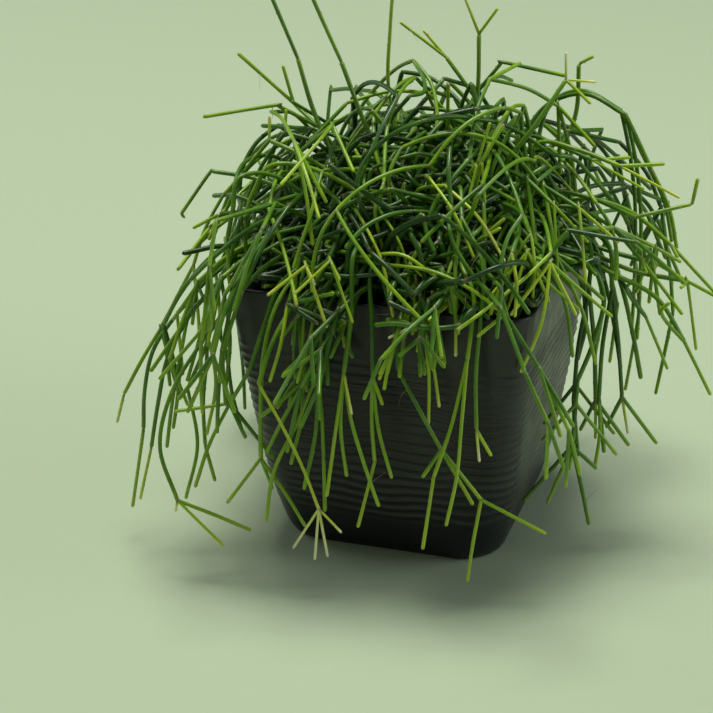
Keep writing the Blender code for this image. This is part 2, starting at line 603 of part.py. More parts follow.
class Crowd:
    """All the stems' points at once, so that they can be moved apart together."""

    def __init__(self, sprays):
        points, edges, radius, stem_of, fixed = [], [], [], [], []
        self.places = []
        self.family = {}
        stem_number = 0
        for spray_number, stems in enumerate(sprays):
            numbers, places = [], []
            for parent, route, width, _ in stems:
                first = len(points)
                if parent is None:
                    own = list(range(first, first + len(route)))
                    points.extend(route)
                    fixed.extend(own[:3])
                else:
                    own = [places[parent][-1], *range(first, first + len(route) - 1)]
                    points.extend(route[1:])
                for a, b in zip(own[:-1], own[1:]):
                    edges.append((a, b))
                    radius.append(width)
                    stem_of.append(stem_number)
                self.family[stem_number] = (spray_number, parent, len(numbers))
                numbers.append(stem_number)
                places.append(own)
                stem_number += 1
            self.places.append(places)
        self.rest = np.array(points)
        self.points = self.rest.copy()
        self.edges = np.array(edges)
        self.radius = np.array(radius)
        self.stem_of = np.array(stem_of)
        self.movable = np.ones((len(points), 1))
        self.movable[fixed] = 0
        kin = np.zeros((stem_number, stem_number), bool)
        for one, (spray, parent, place) in self.family.items():
            for two, (other_spray, other_parent, other_place) in self.family.items():
                if spray == other_spray:
                    kin[one, two] = (
                        one == two
                        or parent == other_parent
                        or parent == other_place
                        or other_parent == place
                    )
        self.kin = kin

    def near_pairs(self, within):
        """Pairs of edges of unrelated stems whose middles lie near each other."""
        begin, end = self.points[self.edges[:, 0]], self.points[self.edges[:, 1]]
        middle = (0.5 * (begin + end)).astype(np.float32)
        reach = (0.5 * np.linalg.norm(end - begin, axis=1) + within).astype(np.float32)
        found = []
        for row in range(0, len(middle), 400):
            part = slice(row, row + 400)
            away = np.linalg.norm(middle[part, None] - middle[None], axis=2)
            one, two = np.nonzero(away < reach[part, None] + reach[None])
            one = one + row
            keep = one < two
            found.append(np.stack([one[keep], two[keep]], axis=1))
        pairs = np.concatenate(found)
        stems = self.stem_of[pairs]
        return pairs[~self.kin[stems[:, 0], stems[:, 1]]]

    def part_stems(self, pairs, gap):
        """Pushes each pair of edges that come too near to each other apart, and says how many did."""
        one, two = self.edges[pairs[:, 0]], self.edges[pairs[:, 1]]
        p, q, r, s = (self.points[i] for i in (one[:, 0], one[:, 1], two[:, 0], two[:, 1]))
        t, u = closest(p, q, r, s)
        apart = (p + (q - p) * t[:, None]) - (r + (s - r) * u[:, None])
        away = np.linalg.norm(apart, axis=1)
        short = self.radius[pairs[:, 0]] + self.radius[pairs[:, 1]] + gap - away
        hit = short > 0
        if not hit.any():
            return 0
        one, two, t, u = one[hit], two[hit], t[hit], u[hit]
        way = apart[hit] / np.maximum(away[hit], 1e-6)[:, None]
        way[away[hit] < 1e-6] = (0, 0, 1)
        push = 0.55 * short[hit][:, None] * way
        move = np.zeros_like(self.points)
        count = np.zeros((len(self.points), 1))
        for index, weight, sign in (
            (one[:, 0], 1 - t, 1),
            (one[:, 1], t, 1),
            (two[:, 0], 1 - u, -1),
            (two[:, 1], u, -1),
        ):
            share = 0.35 + 0.65 * weight[:, None]
            np.add.at(move, index, sign * share * push)
            np.add.at(count, index, 1)
        self.points += self.movable * move / np.maximum(np.sqrt(count), 1)
        return int(hit.sum())

    def clear_pot(self):
        """Keeps every stem off the pot's wall, above the soil and above the ground."""
        begin, end = self.edges[:, 0], self.edges[:, 1]
        crossing = inside_pot(self.points[begin]) != inside_pot(self.points[end])
        move = np.zeros_like(self.points)
        most = np.zeros(len(self.points))
        for share in np.linspace(0, 1, 9):
            place = self.points[begin] * (1 - share) + self.points[end] * share
            push = pot_push(place, self.radius, crossing)
            for index, weight in ((begin, 1 - share), (end, share)):
                scaled = push * (0.4 + 0.6 * weight)
                size = np.linalg.norm(scaled, axis=1)
                order = np.argsort(size)
                ordered, scaled, size = index[order], scaled[order], size[order]
                larger = size > most[ordered]
                most[ordered[larger]] = size[larger]
                move[ordered[larger]] = scaled[larger]
        self.points += self.movable * move

    def ease(self, share):
        """Spreads each point's shift to its neighbours along the stem, so that no stem kinks."""
        shift = self.points - self.rest
        total = np.zeros_like(shift)
        count = np.zeros((len(shift), 1))
        for one, two in ((0, 1), (1, 0)):
            np.add.at(total, self.edges[:, one], shift[self.edges[:, two]])
            np.add.at(count, self.edges[:, one], 1)
        mixed = (1 - share) * shift + share * total / np.maximum(count, 1)
        self.points = np.where(self.movable > 0, self.rest + mixed, self.points)

    def settle(self, rounds, gap):
        """Moves the stems apart until none touch."""
        for turn in range(rounds):
            if turn % 5 == 0:
                pairs = self.near_pairs(6 * MM)
            early = turn < 0.5 * rounds
            hits = self.part_stems(pairs, gap * (1.8 if early else 1.2))
            self.clear_pot()
            if early:
                self.ease(0.35)
            elif turn < 0.65 * rounds:
                self.ease(0.1)
        return hits


def inside_pot(place):
    """Whether points lie nearer the pot's axis than the middle of its wall."""
    x, y, z = place.T
    return outside_by(x, y, half_width(z), corner_radius(z)) < -0.5 * WALL


def outward_way(x, y, half, corner):
    """The level way straight out of a square of that half width with round corners."""
    ax, ay = np.abs(x) - (half - corner), np.abs(y) - (half - corner)
    in_corner = (ax > 0) & (ay > 0)
    way = np.stack([np.where(in_corner, ax, ax > ay), np.where(in_corner, ay, ax <= ay)], axis=1)
    way = way * np.stack([np.sign(x), np.sign(y)], axis=1)
    return way / np.maximum(np.linalg.norm(way, axis=1), 1e-9)[:, None]


def pot_push(place, radius, crossing):
    """How far points must move to be clear of the pot's wall, its soil and the ground.

    A point by the wall goes over the rim where that is the shorter way, or where its stem
    crosses the wall, and otherwise straight out or in.
    """
    x, y, z = place.T
    room = radius + CLEARANCE
    half, corner = half_width(z), corner_radius(z)
    out = outside_by(x, y, half, corner)
    inside = out < -0.5 * WALL
    low = z < POT_HEIGHT + room
    to_top = POT_HEIGHT + room - z
    aside = np.where(inside, -(room + WALL + out), room + RIB_DEPTH - out)
    blocked = low & np.where(inside, aside < 0, aside > 0)
    climbs = blocked & ((to_top < np.abs(aside) + 3 * MM) | crossing)
    slides = blocked & ~climbs
    push = np.zeros_like(place)
    push[:, :2] = np.where(slides, aside, 0)[:, None] * outward_way(x, y, half, corner)
    push[:, 2] = np.where(climbs, to_top, 0)
    soil = soil_top(x, y) + room
    push[:, 2] = np.maximum(push[:, 2], np.where(inside & (z < soil), soil - z, 0))
    ground = radius + GAP
    push[:, 2] = np.maximum(push[:, 2], np.where(~inside & (z < ground), ground - z, 0))
    return push


def plan_sprays():
    """Every spray's stems, moved apart, by name."""
    spots, taken = root_spots(), []
    sprays = {name: seen_spray(name, spots, taken) for name in SEEN_SPRAYS}
    rng = np.random.default_rng(FAR_SEED)
    for number in range(FAR_SPRAYS):
        turn = FAR_ARC[0] + (number + 0.5) / FAR_SPRAYS * (FAR_ARC[1] - FAR_ARC[0])
        out = np.array([math.cos(turn), math.sin(turn)])
        spot = take_spot(spots, taken, out * rng.uniform(15, 55) * MM)
        reach = rng.uniform(0.85, 1.1)
        lift = rng.uniform(*(STEEP if number % 2 else FLAT))
        sprays[f"far_{number + 1:02d}"] = best_of(lambda: grown_spray(rng, turn, spot, lift, reach))
    crowd = Crowd(list(sprays.values()))
    left = crowd.settle(SETTLE_ROUNDS, STEM_GAP)
    print("stem pairs still too near:", left)
    settled = {}
    for name, places in zip(sprays, crowd.places):
        settled[name] = [
            (parent, crowd.points[own], width, age)
            for (parent, _, width, age), own in zip(sprays[name], places)
        ]
    return settled


# Meshes


def make_material(name, colour, roughness, metallic=0.0):
    material = bpy.data.materials.new(name)
    material.use_nodes = True
    shader = material.node_tree.nodes["Principled BSDF"]
    shader.inputs["Base Color"].default_value = (*colour, 1)
    shader.inputs["Roughness"].default_value = roughness
    shader.inputs["Metallic"].default_value = metallic
    return material


def add_object(name, mesh, material):
    made = bpy.data.objects.new(name, mesh)
    bpy.context.scene.collection.objects.link(made)
    if material:
        mesh.materials.append(material)
    return made


def skin(name, rings):
    """A closed mesh over a row of rings with equal counts of points, its two ends filled."""
    shape = bmesh.new()
    rows = [[shape.verts.new(point) for point in ring] for ring in rings]
    around = len(rows[0])
    for low, high in zip(rows[:-1], rows[1:]):
        for k in range(around):
            after = (k + 1) % around
            shape.faces.new((low[k], low[after], high[after], high[k]))
    shape.faces.new(rows[0][::-1])
    shape.faces.new(rows[-1])
    bmesh.ops.triangulate(shape, faces=[f for f in shape.faces if len(f.verts) > 4])
    bmesh.ops.recalc_face_normals(shape, faces=shape.faces)
    mesh = bpy.data.meshes.new(name)
    shape.to_mesh(mesh)
    shape.free()
    return mesh


def square_outline(half, corner):
    """Points round a square with round corners, and each one's share of the way round."""
    points = []
    for quarter in range(4):
        turn = math.pi / 2 * quarter
        middle = (half - corner) * np.array([math.cos(turn), math.sin(turn)])
        middle = middle + (half - corner) * np.array([-math.sin(turn), math.cos(turn)])
        for step in range(POT_CORNER_STEPS + 1):
            angle = turn + math.pi / 2 * step / POT_CORNER_STEPS
            points.append(middle + corner * np.array([math.cos(angle), math.sin(angle)]))
        before = points[-1]
        run = 2 * (half - corner) * np.array([-math.cos(turn), -math.sin(turn)])
        for step in range(1, POT_SIDE_STEPS + 1):
            points.append(before + run * step / (POT_SIDE_STEPS + 1))
    return np.array(points), np.arange(len(points)) / len(points)


def pot_ring(z, out=0.0, wave=0.0, phase=0.0):
    """One ring of the pot's skin: moved out from its plain side, and waved up and down."""
    outline, share = square_outline(half_width(z) + out, max(corner_radius(z) + out, 1 * MM))
    lift = wave * np.sin(2 * math.pi * RIB_WAVES_ROUND * share + phase)
    return [(x, y, z + dz) for (x, y), dz in zip(outline, lift)]


def make_pot(material):
    rings = [pot_ring(0, -1.5 * MM), pot_ring(1.2 * MM)]
    rings.append(pot_ring(0.6 * RIBS_LOW))
    for rib in range(RIB_COUNT):
        edge = min(1, 0.35 * rib, 0.35 * (RIB_COUNT - 1 - rib))
        valley = RIBS_LOW + rib * RIB_PITCH
        rings.append(pot_ring(valley, 0, edge * RIB_WAVE, RIB_DRIFT * rib))
        rings.append(pot_ring(valley + 0.5 * RIB_PITCH, RIB_DEPTH, edge * RIB_WAVE, RIB_DRIFT * rib))
    ribs_high = RIBS_LOW + RIB_COUNT * RIB_PITCH
    rings += [pot_ring(ribs_high), pot_ring(0.5 * (ribs_high + POT_HEIGHT))]
    rings += [pot_ring(POT_HEIGHT - RIM_ROUND), pot_ring(POT_HEIGHT, -RIM_ROUND)]
    rings += [pot_ring(POT_HEIGHT, RIM_ROUND - WALL), pot_ring(POT_HEIGHT - RIM_ROUND, -WALL)]
    for share in (0.75, 0.5, 0.25, 0.1):
        rings.append(pot_ring(share * POT_HEIGHT, -WALL))
    rings.append(pot_ring(FLOOR, -WALL))
    pot = add_object("pot", skin("pot", rings), material)
    return pot


def make_soil(material, sprays):
    """The soil, with a plain hole for each spray's root."""
    rings = []
    for z in (FLOOR + GAP, 0.1 * POT_HEIGHT, 0.25 * POT_HEIGHT, 0.5 * POT_HEIGHT, SOIL_EDGE):
        rings.append(pot_ring(z, -WALL - GAP))
    edge = np.array(rings[-1])
    for share in (0.8, 0.5, 0.2):
        flat = edge[:, :2] * share
        rings.append([(x, y, soil_top(x, y)) for x, y in flat])
    soil = add_object("soil", skin("soil", rings), material)
    holes = bpy.data.collections.new("root_holes")
    bpy.context.scene.collection.children.link(holes)
    for name, stems in sprays.items():
        points, radius = stems[0][1], stems[0][2]
        way = points[1] - points[0]
        way = way / np.linalg.norm(way)
        ends = np.array([points[0] - GAP * way, points[1] + 6 * MM * way])
        mesh = tube(f"hole_{name}", ends, [radius + HOLE_GAP] * 2, HOLE_SIDES)
        cutter = bpy.data.objects.new(f"hole_{name}", mesh)
        cutter.hide_render = True
        cutter.display_type = "WIRE"
        holes.objects.link(cutter)
    cut = soil.modifiers.new("Root holes", "BOOLEAN")
    cut.operation = "DIFFERENCE"
    cut.operand_type = "COLLECTION"
    cut.collection = holes
    return soil


def tube(name, points, radii, sides):
    """A tube along a polyline, its rings turned as little as possible from one point to the next."""
    ways = np.gradient(points, axis=0)
    ways /= np.linalg.norm(ways, axis=1)[:, None]
    side = np.cross(ways[0], (0.3, 0.5, 0.81))
    rings = []
    for point, way, radius in zip(points, ways, radii):
        side = side - way * (side @ way)
        side /= np.linalg.norm(side)
        up = np.cross(way, side)
        turns = 2 * math.pi * np.arange(sides) / sides
        rings.append(point + radius * (np.outer(np.cos(turns), side) + np.outer(np.sin(turns), up)))
    return skin(name, rings)


def evaluated_mesh(made):
    graph = bpy.context.evaluated_depsgraph_get()
    graph.update()
    return bpy.data.meshes.new_from_object(made.evaluated_get(graph))


def is_closed(mesh):
    """Whether every edge of a mesh has just two faces."""
    shape = bmesh.new()
    shape.from_mesh(mesh)
    closed = all(edge.is_manifold for edge in shape.edges)
    shape.free()
    return closed


def make_spray(name, stems, material):
    """One spray: its stems' tubes, each sunk into the one that it grows from, joined to one solid."""
    parts = bpy.data.collections.new(f"{name}_stems")
    bpy.context.scene.collection.children.link(parts)
    first = None
    for number, (parent, points, radius, _) in enumerate(stems):
        points = points.copy()
        radii = np.full(len(points), radius)
        radii[-1] *= 0.82
        if parent is not None:
            back = stems[parent][1]
            way = back[-1] - back[-2]
            points[0] = points[0] - SINK * way / np.linalg.norm(way)
            radii[0] *= 0.8
        mesh = tube(f"{name}_{number}", points, radii, STEM_SIDES)
        if first is None:
            first = add_object(name, mesh, material)
        else:
            parts.objects.link(bpy.data.objects.new(f"{name}_{number}", mesh))
    if len(stems) > 1:
        join = first.modifiers.new("Join stems", "BOOLEAN")
        join.operation = "UNION"
        join.operand_type = "COLLECTION"
        join.collection = parts
        joined = evaluated_mesh(first)
        if not is_closed(joined):
            join.solver = "MANIFOLD"
            joined = evaluated_mesh(first)
        first.modifiers.clear()
        first.data = joined
    for helper in list(parts.objects):
        bpy.data.objects.remove(helper)
    bpy.data.collections.remove(parts)
    return first


def main():
    for old in list(bpy.data.objects):
        bpy.data.objects.remove(old)
    plastic = make_material("anthracite_plastic", (0.018, 0.018, 0.022), 0.5)
    peat = make_material("peat", (0.03, 0.017, 0.012), 0.95)
    stem_green = make_material("stem_green", (0.06, 0.17, 0.02), 0.42)
    sprays = plan_sprays()
    make_pot(plastic)
    make_soil(peat, sprays)
    for name, stems in sprays.items():
        make_spray(f"spray_{name}", stems, stem_green)


main()
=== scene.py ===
"""The looks of a mistletoe cactus in a square ribbed pot, in metres, +Z up.

The sprays grow here by the same plan as their solids, which keeps every stem where its solid is.
Then more stems fill the crowded middle, and all of them get their fine surface.
"""

import math
from collections import namedtuple

import bpy
import numpy as np
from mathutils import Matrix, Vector


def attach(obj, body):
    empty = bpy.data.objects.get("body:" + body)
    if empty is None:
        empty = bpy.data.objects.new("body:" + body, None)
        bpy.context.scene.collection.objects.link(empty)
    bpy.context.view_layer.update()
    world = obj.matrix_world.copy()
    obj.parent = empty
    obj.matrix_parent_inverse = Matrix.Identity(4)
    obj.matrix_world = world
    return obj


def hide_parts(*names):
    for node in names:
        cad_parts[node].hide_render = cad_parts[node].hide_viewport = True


MM = 0.001

# The pot: a square tub with round corners whose sides bow out as they rise.
POT_HEIGHT = 142 * MM
RIM_HALF_WIDTH = 75 * MM
BASE_HALF_WIDTH = 53.5 * MM
RIM_CORNER = 13.4 * MM
BASE_CORNER = 21 * MM
SIDE_BOW = 0.63
WALL = 2.4 * MM
FLOOR = 4 * MM

# The wavy ribs that run round the middle of its sides.
RIB_PITCH = 4.8 * MM
RIB_DEPTH = 0.9 * MM
RIBS_LOW = 18 * MM
RIB_COUNT = 20

# The soil, a little below the rim and mounded towards its middle.
GAP = 0.3 * MM
SOIL_EDGE = 129 * MM
SOIL_MOUND = 4 * MM

# Roots: each spray stands in a hole of its own, on one of the spots of a sunflower pattern.
ROOT_DEPTH = 9 * MM
ROOT_LEAD = 4 * MM
ROOT_SPOTS = 150
ROOT_MARGIN = 9 * MM
SQUARED_UP = 0.55
GOLDEN_ANGLE = math.pi * (3 - math.sqrt(5))
# A root leans the more, the farther off its stem's first point is, and the stem rises on the way there.
LEAN_REACH = 60 * MM
ARCH_RISE = 0.22

# Stems
OLD_RADIUS = 1.5 * MM
YOUNG_RADIUS = 0.8 * MM
ROOT_SWELL = 1.12
STEM_STEP = 25 * MM
STEM_GAP = 0.45 * MM
CLEARANCE = 0.6 * MM
SETTLE_ROUNDS = 220

# How the stems are moved apart: how often and how far pairs are looked for, the shares of the rounds
# that count as early and that are eased, and the gaps and the easing, early and late.
PAIRS_EVERY = 5
PAIRS_WITHIN = 6 * MM
EARLY, EASED = 0.5, 0.65
EARLY_GAP, LATE_GAP = 1.8, 1.2
EARLY_EASE, LATE_EASE = 0.35, 0.1

# Each of two stems that are too near moves by this share of what is missing between them.
PUSH = 0.55
# Both ends of an edge take this share of a push by a stem or by the pot. The end that is nearer to
# the place where it acts takes more of the rest.
STEM_SHARE = 0.35
WALL_SHARE = 0.4
WALL_SAMPLES = 9
PAIRS_AT_ONCE = 400

# The eye that the photograph was taken from: how it is turned and lifted, the place it looks at and
# the pixel where that place is seen.
EYE_TURN = math.radians(16.4)
EYE_LIFT = math.radians(26.1)
EYE_DISTANCE = 1312 * MM
EYE_AIM = np.array([0, 0, 71 * MM])
EYE_PIXELS = 2619
AIM_PIXEL = (416.8, 374.7)
EYE_RIGHT = np.array([math.cos(EYE_TURN), math.sin(EYE_TURN), 0])
EYE_NEAR = np.array([math.sin(EYE_TURN), -math.cos(EYE_TURN), 0])
EYE_BACK = EYE_NEAR * math.cos(EYE_LIFT) + np.array([0, 0, math.sin(EYE_LIFT)])
EYE_UP = np.array([0, 0, math.cos(EYE_LIFT)]) - EYE_NEAR * math.sin(EYE_LIFT)

# The sprays that follow the photograph. Each row is a stem: the number of the stem it grows from
# (None is the root), how young it is from 0 to 1, and then its passing points, three numbers each
# (pixel across, pixel down, millimetres nearer than the pot's middle).
SEEN_SPRAYS = {
    "left_outer": [
        (None, 0.35, 262, 228, 6, 210, 257, 12, 176, 300, 18, 161, 328, 20),
        (0, 0.45, 143, 358, 22, 124, 394, 24), (1, 0.85, 117, 423, 25),
        (0, 0.4, 170, 360, 24, 179, 394, 27),
    ],
    "left_second": [
        (None, 0.3, 268, 246, 18, 214, 280, 24, 178, 319, 28),
        (0, 0.35, 160, 342, 30, 147, 380, 32, 144, 434, 34), (1, 0.6, 139, 470, 36, 133, 512, 38),
        (0, 0.7, 190, 350, 34, 184, 381, 36),
    ],
    "left_third": [
        (None, 0.3, 270, 290, 40, 232, 340, 44, 195, 384, 46), (0, 0.35, 169, 428, 48, 154, 508, 50),
        (1, 0.85, 149, 532, 51, 143, 558, 52), (0, 0.4, 172, 420, 50, 153, 444, 52),
    ],
    "ground_loop": [
        (None, 0.25, 276, 310, 52, 238, 362, 58, 205, 396, 62),
        (0, 0.35, 176, 437, 66, 163, 472, 70, 166, 507, 74, 180, 536, 77),
        (1, 0.5, 215, 548, 76, 253, 563, 70), (1, 0.75, 196, 560, 80, 226, 581, 82),
        (1, 0.97, 178, 547, 80),
    ],
    "left_curtain": [
        (None, 0.3, 262, 262, 30, 240, 292, 36, 222, 330, 42),
        (0, 0.4, 214, 370, 46, 203, 416, 48, 189, 438, 50),
        (0, 0.4, 230, 372, 44, 231, 430, 46, 226, 446, 46),
        (1, 0.55, 202, 470, 54, 192, 520, 56, 187, 546, 58),
    ],
    "left_cascade": [
        (None, 0.3, 258, 240, 22, 224, 272, 28, 206, 310, 32), (0, 0.5, 196, 345, 34, 185, 382, 36),
        (0, 0.4, 206, 350, 36, 202, 400, 38, 204, 446, 40),
        (0, 0.4, 224, 350, 36, 230, 390, 38, 240, 430, 40), (2, 0.5, 214, 482, 44),
    ],
    "left_long_edge": [
        (None, 0.4, 264, 214, 34, 250, 238, 40, 244, 292, 46, 239, 340, 48),
        (0, 0.5, 236, 370, 48, 241, 394, 50),
    ],
    "left_star": [
        (None, 0.3, 282, 306, 60, 268, 350, 66, 253, 388, 68), (0, 0.35, 240, 404, 66, 232, 419, 64),
        (1, 0.6, 205, 419, 66, 176, 427, 68), (1, 0.35, 240, 437, 66, 248, 454, 66),
        (1, 0.5, 216, 450, 66, 202, 480, 68, 197, 502, 68),
        (1, 0.35, 245, 432, 70, 262, 455, 74, 276, 474, 76),
    ],
    "left_fork": [
        (None, 0.4, 272, 322, 70, 259, 384, 78, 259, 430, 80, 259, 467, 80),
        (0, 0.6, 243, 490, 82, 225, 512, 84), (0, 0.55, 265, 482, 82, 271, 498, 82),
        (0, 0.6, 280, 496, 84, 304, 535, 88),
    ],
    "front_pale_tips": [
        (None, 0.35, 300, 300, 68, 281, 318, 74, 272, 348, 80, 259, 384, 84),
        (0, 0.75, 275, 412, 88, 300, 461, 92, 319, 509, 95), (1, 1.0, 306, 528, 96, 293, 549, 97),
        (1, 1.0, 319, 535, 98, 315, 560, 99), (1, 1.0, 325, 530, 95, 328, 557, 95),
        (1, 1.0, 333, 517, 96, 342, 533, 97),
    ],
    "front_left_short": [
        (None, 0.15, 322, 262, 58, 314, 270, 66), (0, 0.4, 305, 266, 74),
        (1, 0.8, 288, 277, 78, 266, 296, 80), (1, 0.8, 309, 274, 78, 314, 285, 80),
        (1, 0.7, 312, 300, 82, 326, 328, 85), (0, 0.1, 300, 296, 70, 287, 304, 72),
        (5, 0.1, 305, 308, 78, 322, 318, 82), (5, 0.1, 300, 316, 78, 318, 324, 84),
        (5, 0.55, 280, 345, 80, 269, 382, 82),
    ],
    "front_tall_hang": [
        (None, 0.3, 352, 250, 66, 355, 300, 76, 346, 340, 82, 343, 378, 84),
        (0, 0.6, 341, 406, 88, 331, 457, 90, 326, 501, 92),
        (0, 0.5, 337, 400, 84, 341, 440, 86, 346, 481, 86),
        (0, 0.5, 352, 432, 84, 367, 478, 87, 378, 510, 88), (0, 0.95, 351, 420, 92),
    ],
    "front_left_bunch": [
        (None, 0.3, 332, 290, 70, 322, 340, 78, 318, 372, 80),
        (0, 0.5, 307, 400, 82, 290, 440, 84, 268, 486, 86, 266, 522, 88),
        (0, 0.4, 318, 410, 84, 313, 450, 86, 304, 490, 88),
        (0, 0.5, 322, 420, 82, 324, 470, 84, 325, 512, 86),
        (0, 0.3, 300, 392, 80, 268, 410, 82, 261, 417, 84),
    ],
    "front_middle_hang": [
        (None, 0.3, 372, 262, 66, 372, 320, 78, 373, 380, 82), (0, 0.4, 372, 426, 84, 375, 464, 85),
        (1, 0.65, 368, 500, 88, 358, 530, 90), (0, 0.5, 380, 440, 84, 392, 481, 86),
        (0, 0.5, 380, 392, 86, 383, 408, 87),
    ],
    "front_right_hang": [
        (None, 0.3, 384, 300, 70, 396, 352, 80, 401, 396, 84), (0, 0.35, 420, 428, 90, 444, 467, 94),
        (1, 0.5, 435, 480, 96, 425, 495, 98), (1, 0.45, 461, 489, 97, 484, 515, 100),
        (3, 0.6, 515, 528, 100, 549, 549, 102), (3, 0.6, 478, 545, 103, 470, 596, 105),
        (1, 0.5, 465, 505, 100, 476, 522, 101),
    ],
    "front_lowest": [
        (None, 0.4, 452, 290, 70, 470, 340, 80, 474, 392, 86, 468, 433, 90),
        (0, 0.5, 455, 480, 96, 435, 536, 102), (1, 0.6, 432, 570, 105, 424, 606, 108),
        (0, 0.6, 462, 490, 98, 457, 540, 102, 447, 583, 104),
    ],
    "front_yellow_fork": [
        (None, 0.4, 446, 280, 72, 439, 300, 80, 427, 331, 86), (0, 0.95, 410, 340, 90, 392, 348, 92),
        (0, 0.95, 434, 338, 90, 441, 341, 92), (0, 0.75, 431, 360, 88, 433, 400, 90, 432, 434, 91),
        (0, 0.75, 436, 370, 86, 443, 417, 88), (0, 0.6, 424, 350, 84, 421, 362, 85),
    ],
    "front_diagonal": [
        (None, 0.3, 350, 262, 58, 367, 273, 66, 392, 275, 72),
        (0, 0.6, 430, 287, 80, 461, 304, 86, 505, 345, 90), (1, 0.6, 497, 360, 91, 478, 369, 92),
    ],
    "front_pale_finger": [
        (None, 0.4, 340, 192, 44, 360, 214, 54), (0, 0.8, 377, 241, 66, 388, 280, 76, 395, 317, 82),
    ],
    "front_grey_drop": [
        (None, 0.2, 470, 176, 20, 441, 203, 36, 434, 236, 48, 421, 278, 58),
        (0, 0.3, 420, 300, 64, 416, 320, 70),
    ],
    "front_plumb": [
        (None, 0.3, 462, 196, 44, 462, 236, 60), (0, 0.35, 454, 300, 80, 456, 330, 86),
        (1, 0.7, 457, 352, 88, 456, 374, 90), (0, 0.35, 484, 300, 80, 477, 380, 88, 477, 458, 92),
        (3, 0.95, 480, 474, 93, 480, 490, 94), (3, 0.6, 486, 474, 90, 492, 484, 90),
    ],
    "front_bow": [
        (None, 0.35, 505, 214, 30, 476, 250, 48, 459, 272, 62),
        (0, 0.4, 450, 305, 76, 440, 332, 82, 436, 366, 85), (0, 0.5, 476, 258, 62, 505, 246, 60),
    ],
    "right_shoulder": [
        (None, 0.3, 520, 170, 16, 544, 186, 30), (0, 0.35, 560, 194, 40, 579, 208, 46),
        (1, 0.8, 584, 241, 56, 586, 284, 62), (1, 0.75, 600, 222, 44, 619, 243, 46),
        (0, 0.4, 552, 220, 44, 556, 256, 52), (4, 0.5, 570, 282, 56, 586, 322, 60, 596, 365, 63),
        (4, 0.4, 574, 268, 48, 604, 300, 50),
    ],
    "front_bright_arc": [
        (None, 0.5, 420, 180, 40, 444, 189, 46), (0, 0.75, 476, 220, 60, 491, 240, 66, 504, 266, 70),
    ],
    "right_front_fork": [
        (None, 0.4, 500, 276, 52, 523, 292, 66, 547, 312, 72), (0, 0.75, 530, 340, 82, 508, 370, 86),
        (0, 0.7, 562, 338, 76, 573, 364, 78), (0, 0.6, 566, 327, 68, 587, 348, 68, 609, 365, 68),
        (0, 0.7, 546, 345, 80, 532, 380, 82, 515, 419, 84),
    ],
    "right_front_drop": [
        (None, 0.3, 515, 262, 50, 515, 296, 66, 509, 336, 80), (0, 0.7, 513, 371, 86, 511, 417, 87),
        (0, 0.5, 498, 386, 84, 487, 419, 86),
    ],
    "right_hang_fork": [
        (None, 0.25, 590, 260, 36, 604, 300, 42, 590, 352, 46, 578, 380, 46),
        (0, 0.4, 577, 392, 46, 576, 404, 46), (1, 0.45, 558, 418, 48, 542, 441, 50),
        (1, 0.45, 596, 422, 48, 617, 455, 50), (1, 0.35, 574, 425, 46, 572, 446, 46),
        (4, 0.3, 548, 468, 48, 523, 501, 50), (4, 0.5, 560, 475, 50, 547, 504, 52),
        (4, 0.35, 580, 480, 46, 589, 525, 46), (4, 0.35, 584, 455, 46, 597, 469, 48),
    ],
    "right_hang_long": [
        (None, 0.25, 602, 232, 20, 612, 290, 30), (0, 0.25, 602, 350, 36, 599, 398, 38),
        (1, 0.5, 600, 430, 38, 595, 467, 38), (1, 0.3, 606, 425, 36, 604, 453, 36),
        (0, 0.25, 618, 340, 26, 622, 397, 28), (4, 0.4, 640, 415, 28, 657, 444, 28),
        (4, 0.3, 612, 410, 32, 606, 428, 33), (4, 0.85, 626, 418, 28, 628, 434, 28),
    ],
    "right_straight_drop": [
        (None, 0.3, 600, 236, 10, 619, 278, 20, 632, 330, 24, 641, 379, 26),
    ],
    "right_far": [
        (None, 0.35, 590, 252, 20, 618, 270, 26, 645, 270, 28, 687, 281, 30),
        (0, 0.6, 713, 293, 31, 734, 306, 32), (0, 0.75, 692, 318, 32, 696, 350, 33),
        (0, 0.5, 665, 282, 34, 680, 288, 36),
    ],
    "right_farther": [
        (None, 0.4, 604, 200, 0, 642, 220, 8, 671, 245, 12), (0, 0.6, 694, 270, 15, 718, 296, 18),
        (0, 0.6, 678, 258, 15),
    ],
    "right_low_far": [
        (None, 0.3, 596, 268, 26, 630, 279, 36, 661, 302, 40, 685, 342, 42),
        (0, 0.55, 699, 364, 43, 711, 395, 44), (0, 0.45, 652, 300, 46, 670, 302, 48),
    ],
    "right_high_curve": [
        (None, 0.35, 570, 190, 10, 604, 206, 16, 635, 217, 20), (0, 0.4, 665, 215, 20, 692, 204, 18),
        (1, 0.5, 695, 192, 18, 698, 178, 17),
    ],
    "right_big_arch": [
        (None, 0.3, 540, 112, -40, 570, 95, -34, 600, 97, -26, 626, 115, -18),
        (0, 0.35, 645, 144, -10, 652, 170, -6), (1, 0.45, 667, 200, -2, 677, 249, 2),
        (0, 0.35, 634, 150, -16, 640, 196, -12, 641, 250, -8), (3, 0.45, 640, 290, -6, 637, 340, -4),
    ],
    "right_yellow_point": [
        (None, 0.4, 552, 134, 6, 580, 152, 14, 620, 166, 22), (0, 0.9, 650, 178, 26, 680, 198, 30),
        (0, 0.5, 640, 164, 20, 665, 164, 20),
    ],
    "top_right_spark": [
        (None, 0.35, 514, 154, 16, 540, 118, 10, 566, 80, 2), (0, 0.97, 566, 66, 0, 566, 52, -1),
        (0, 1.0, 582, 79, 0, 597, 82, 0), (0, 0.7, 578, 90, 6, 591, 104, 10),
    ],
    "top_right_back": [
        (None, 0.3, 566, 150, -50, 574, 128, -52, 579, 64, -56), (0, 0.6, 586, 62, -56, 594, 56, -56),
    ],
    "top_arch": [
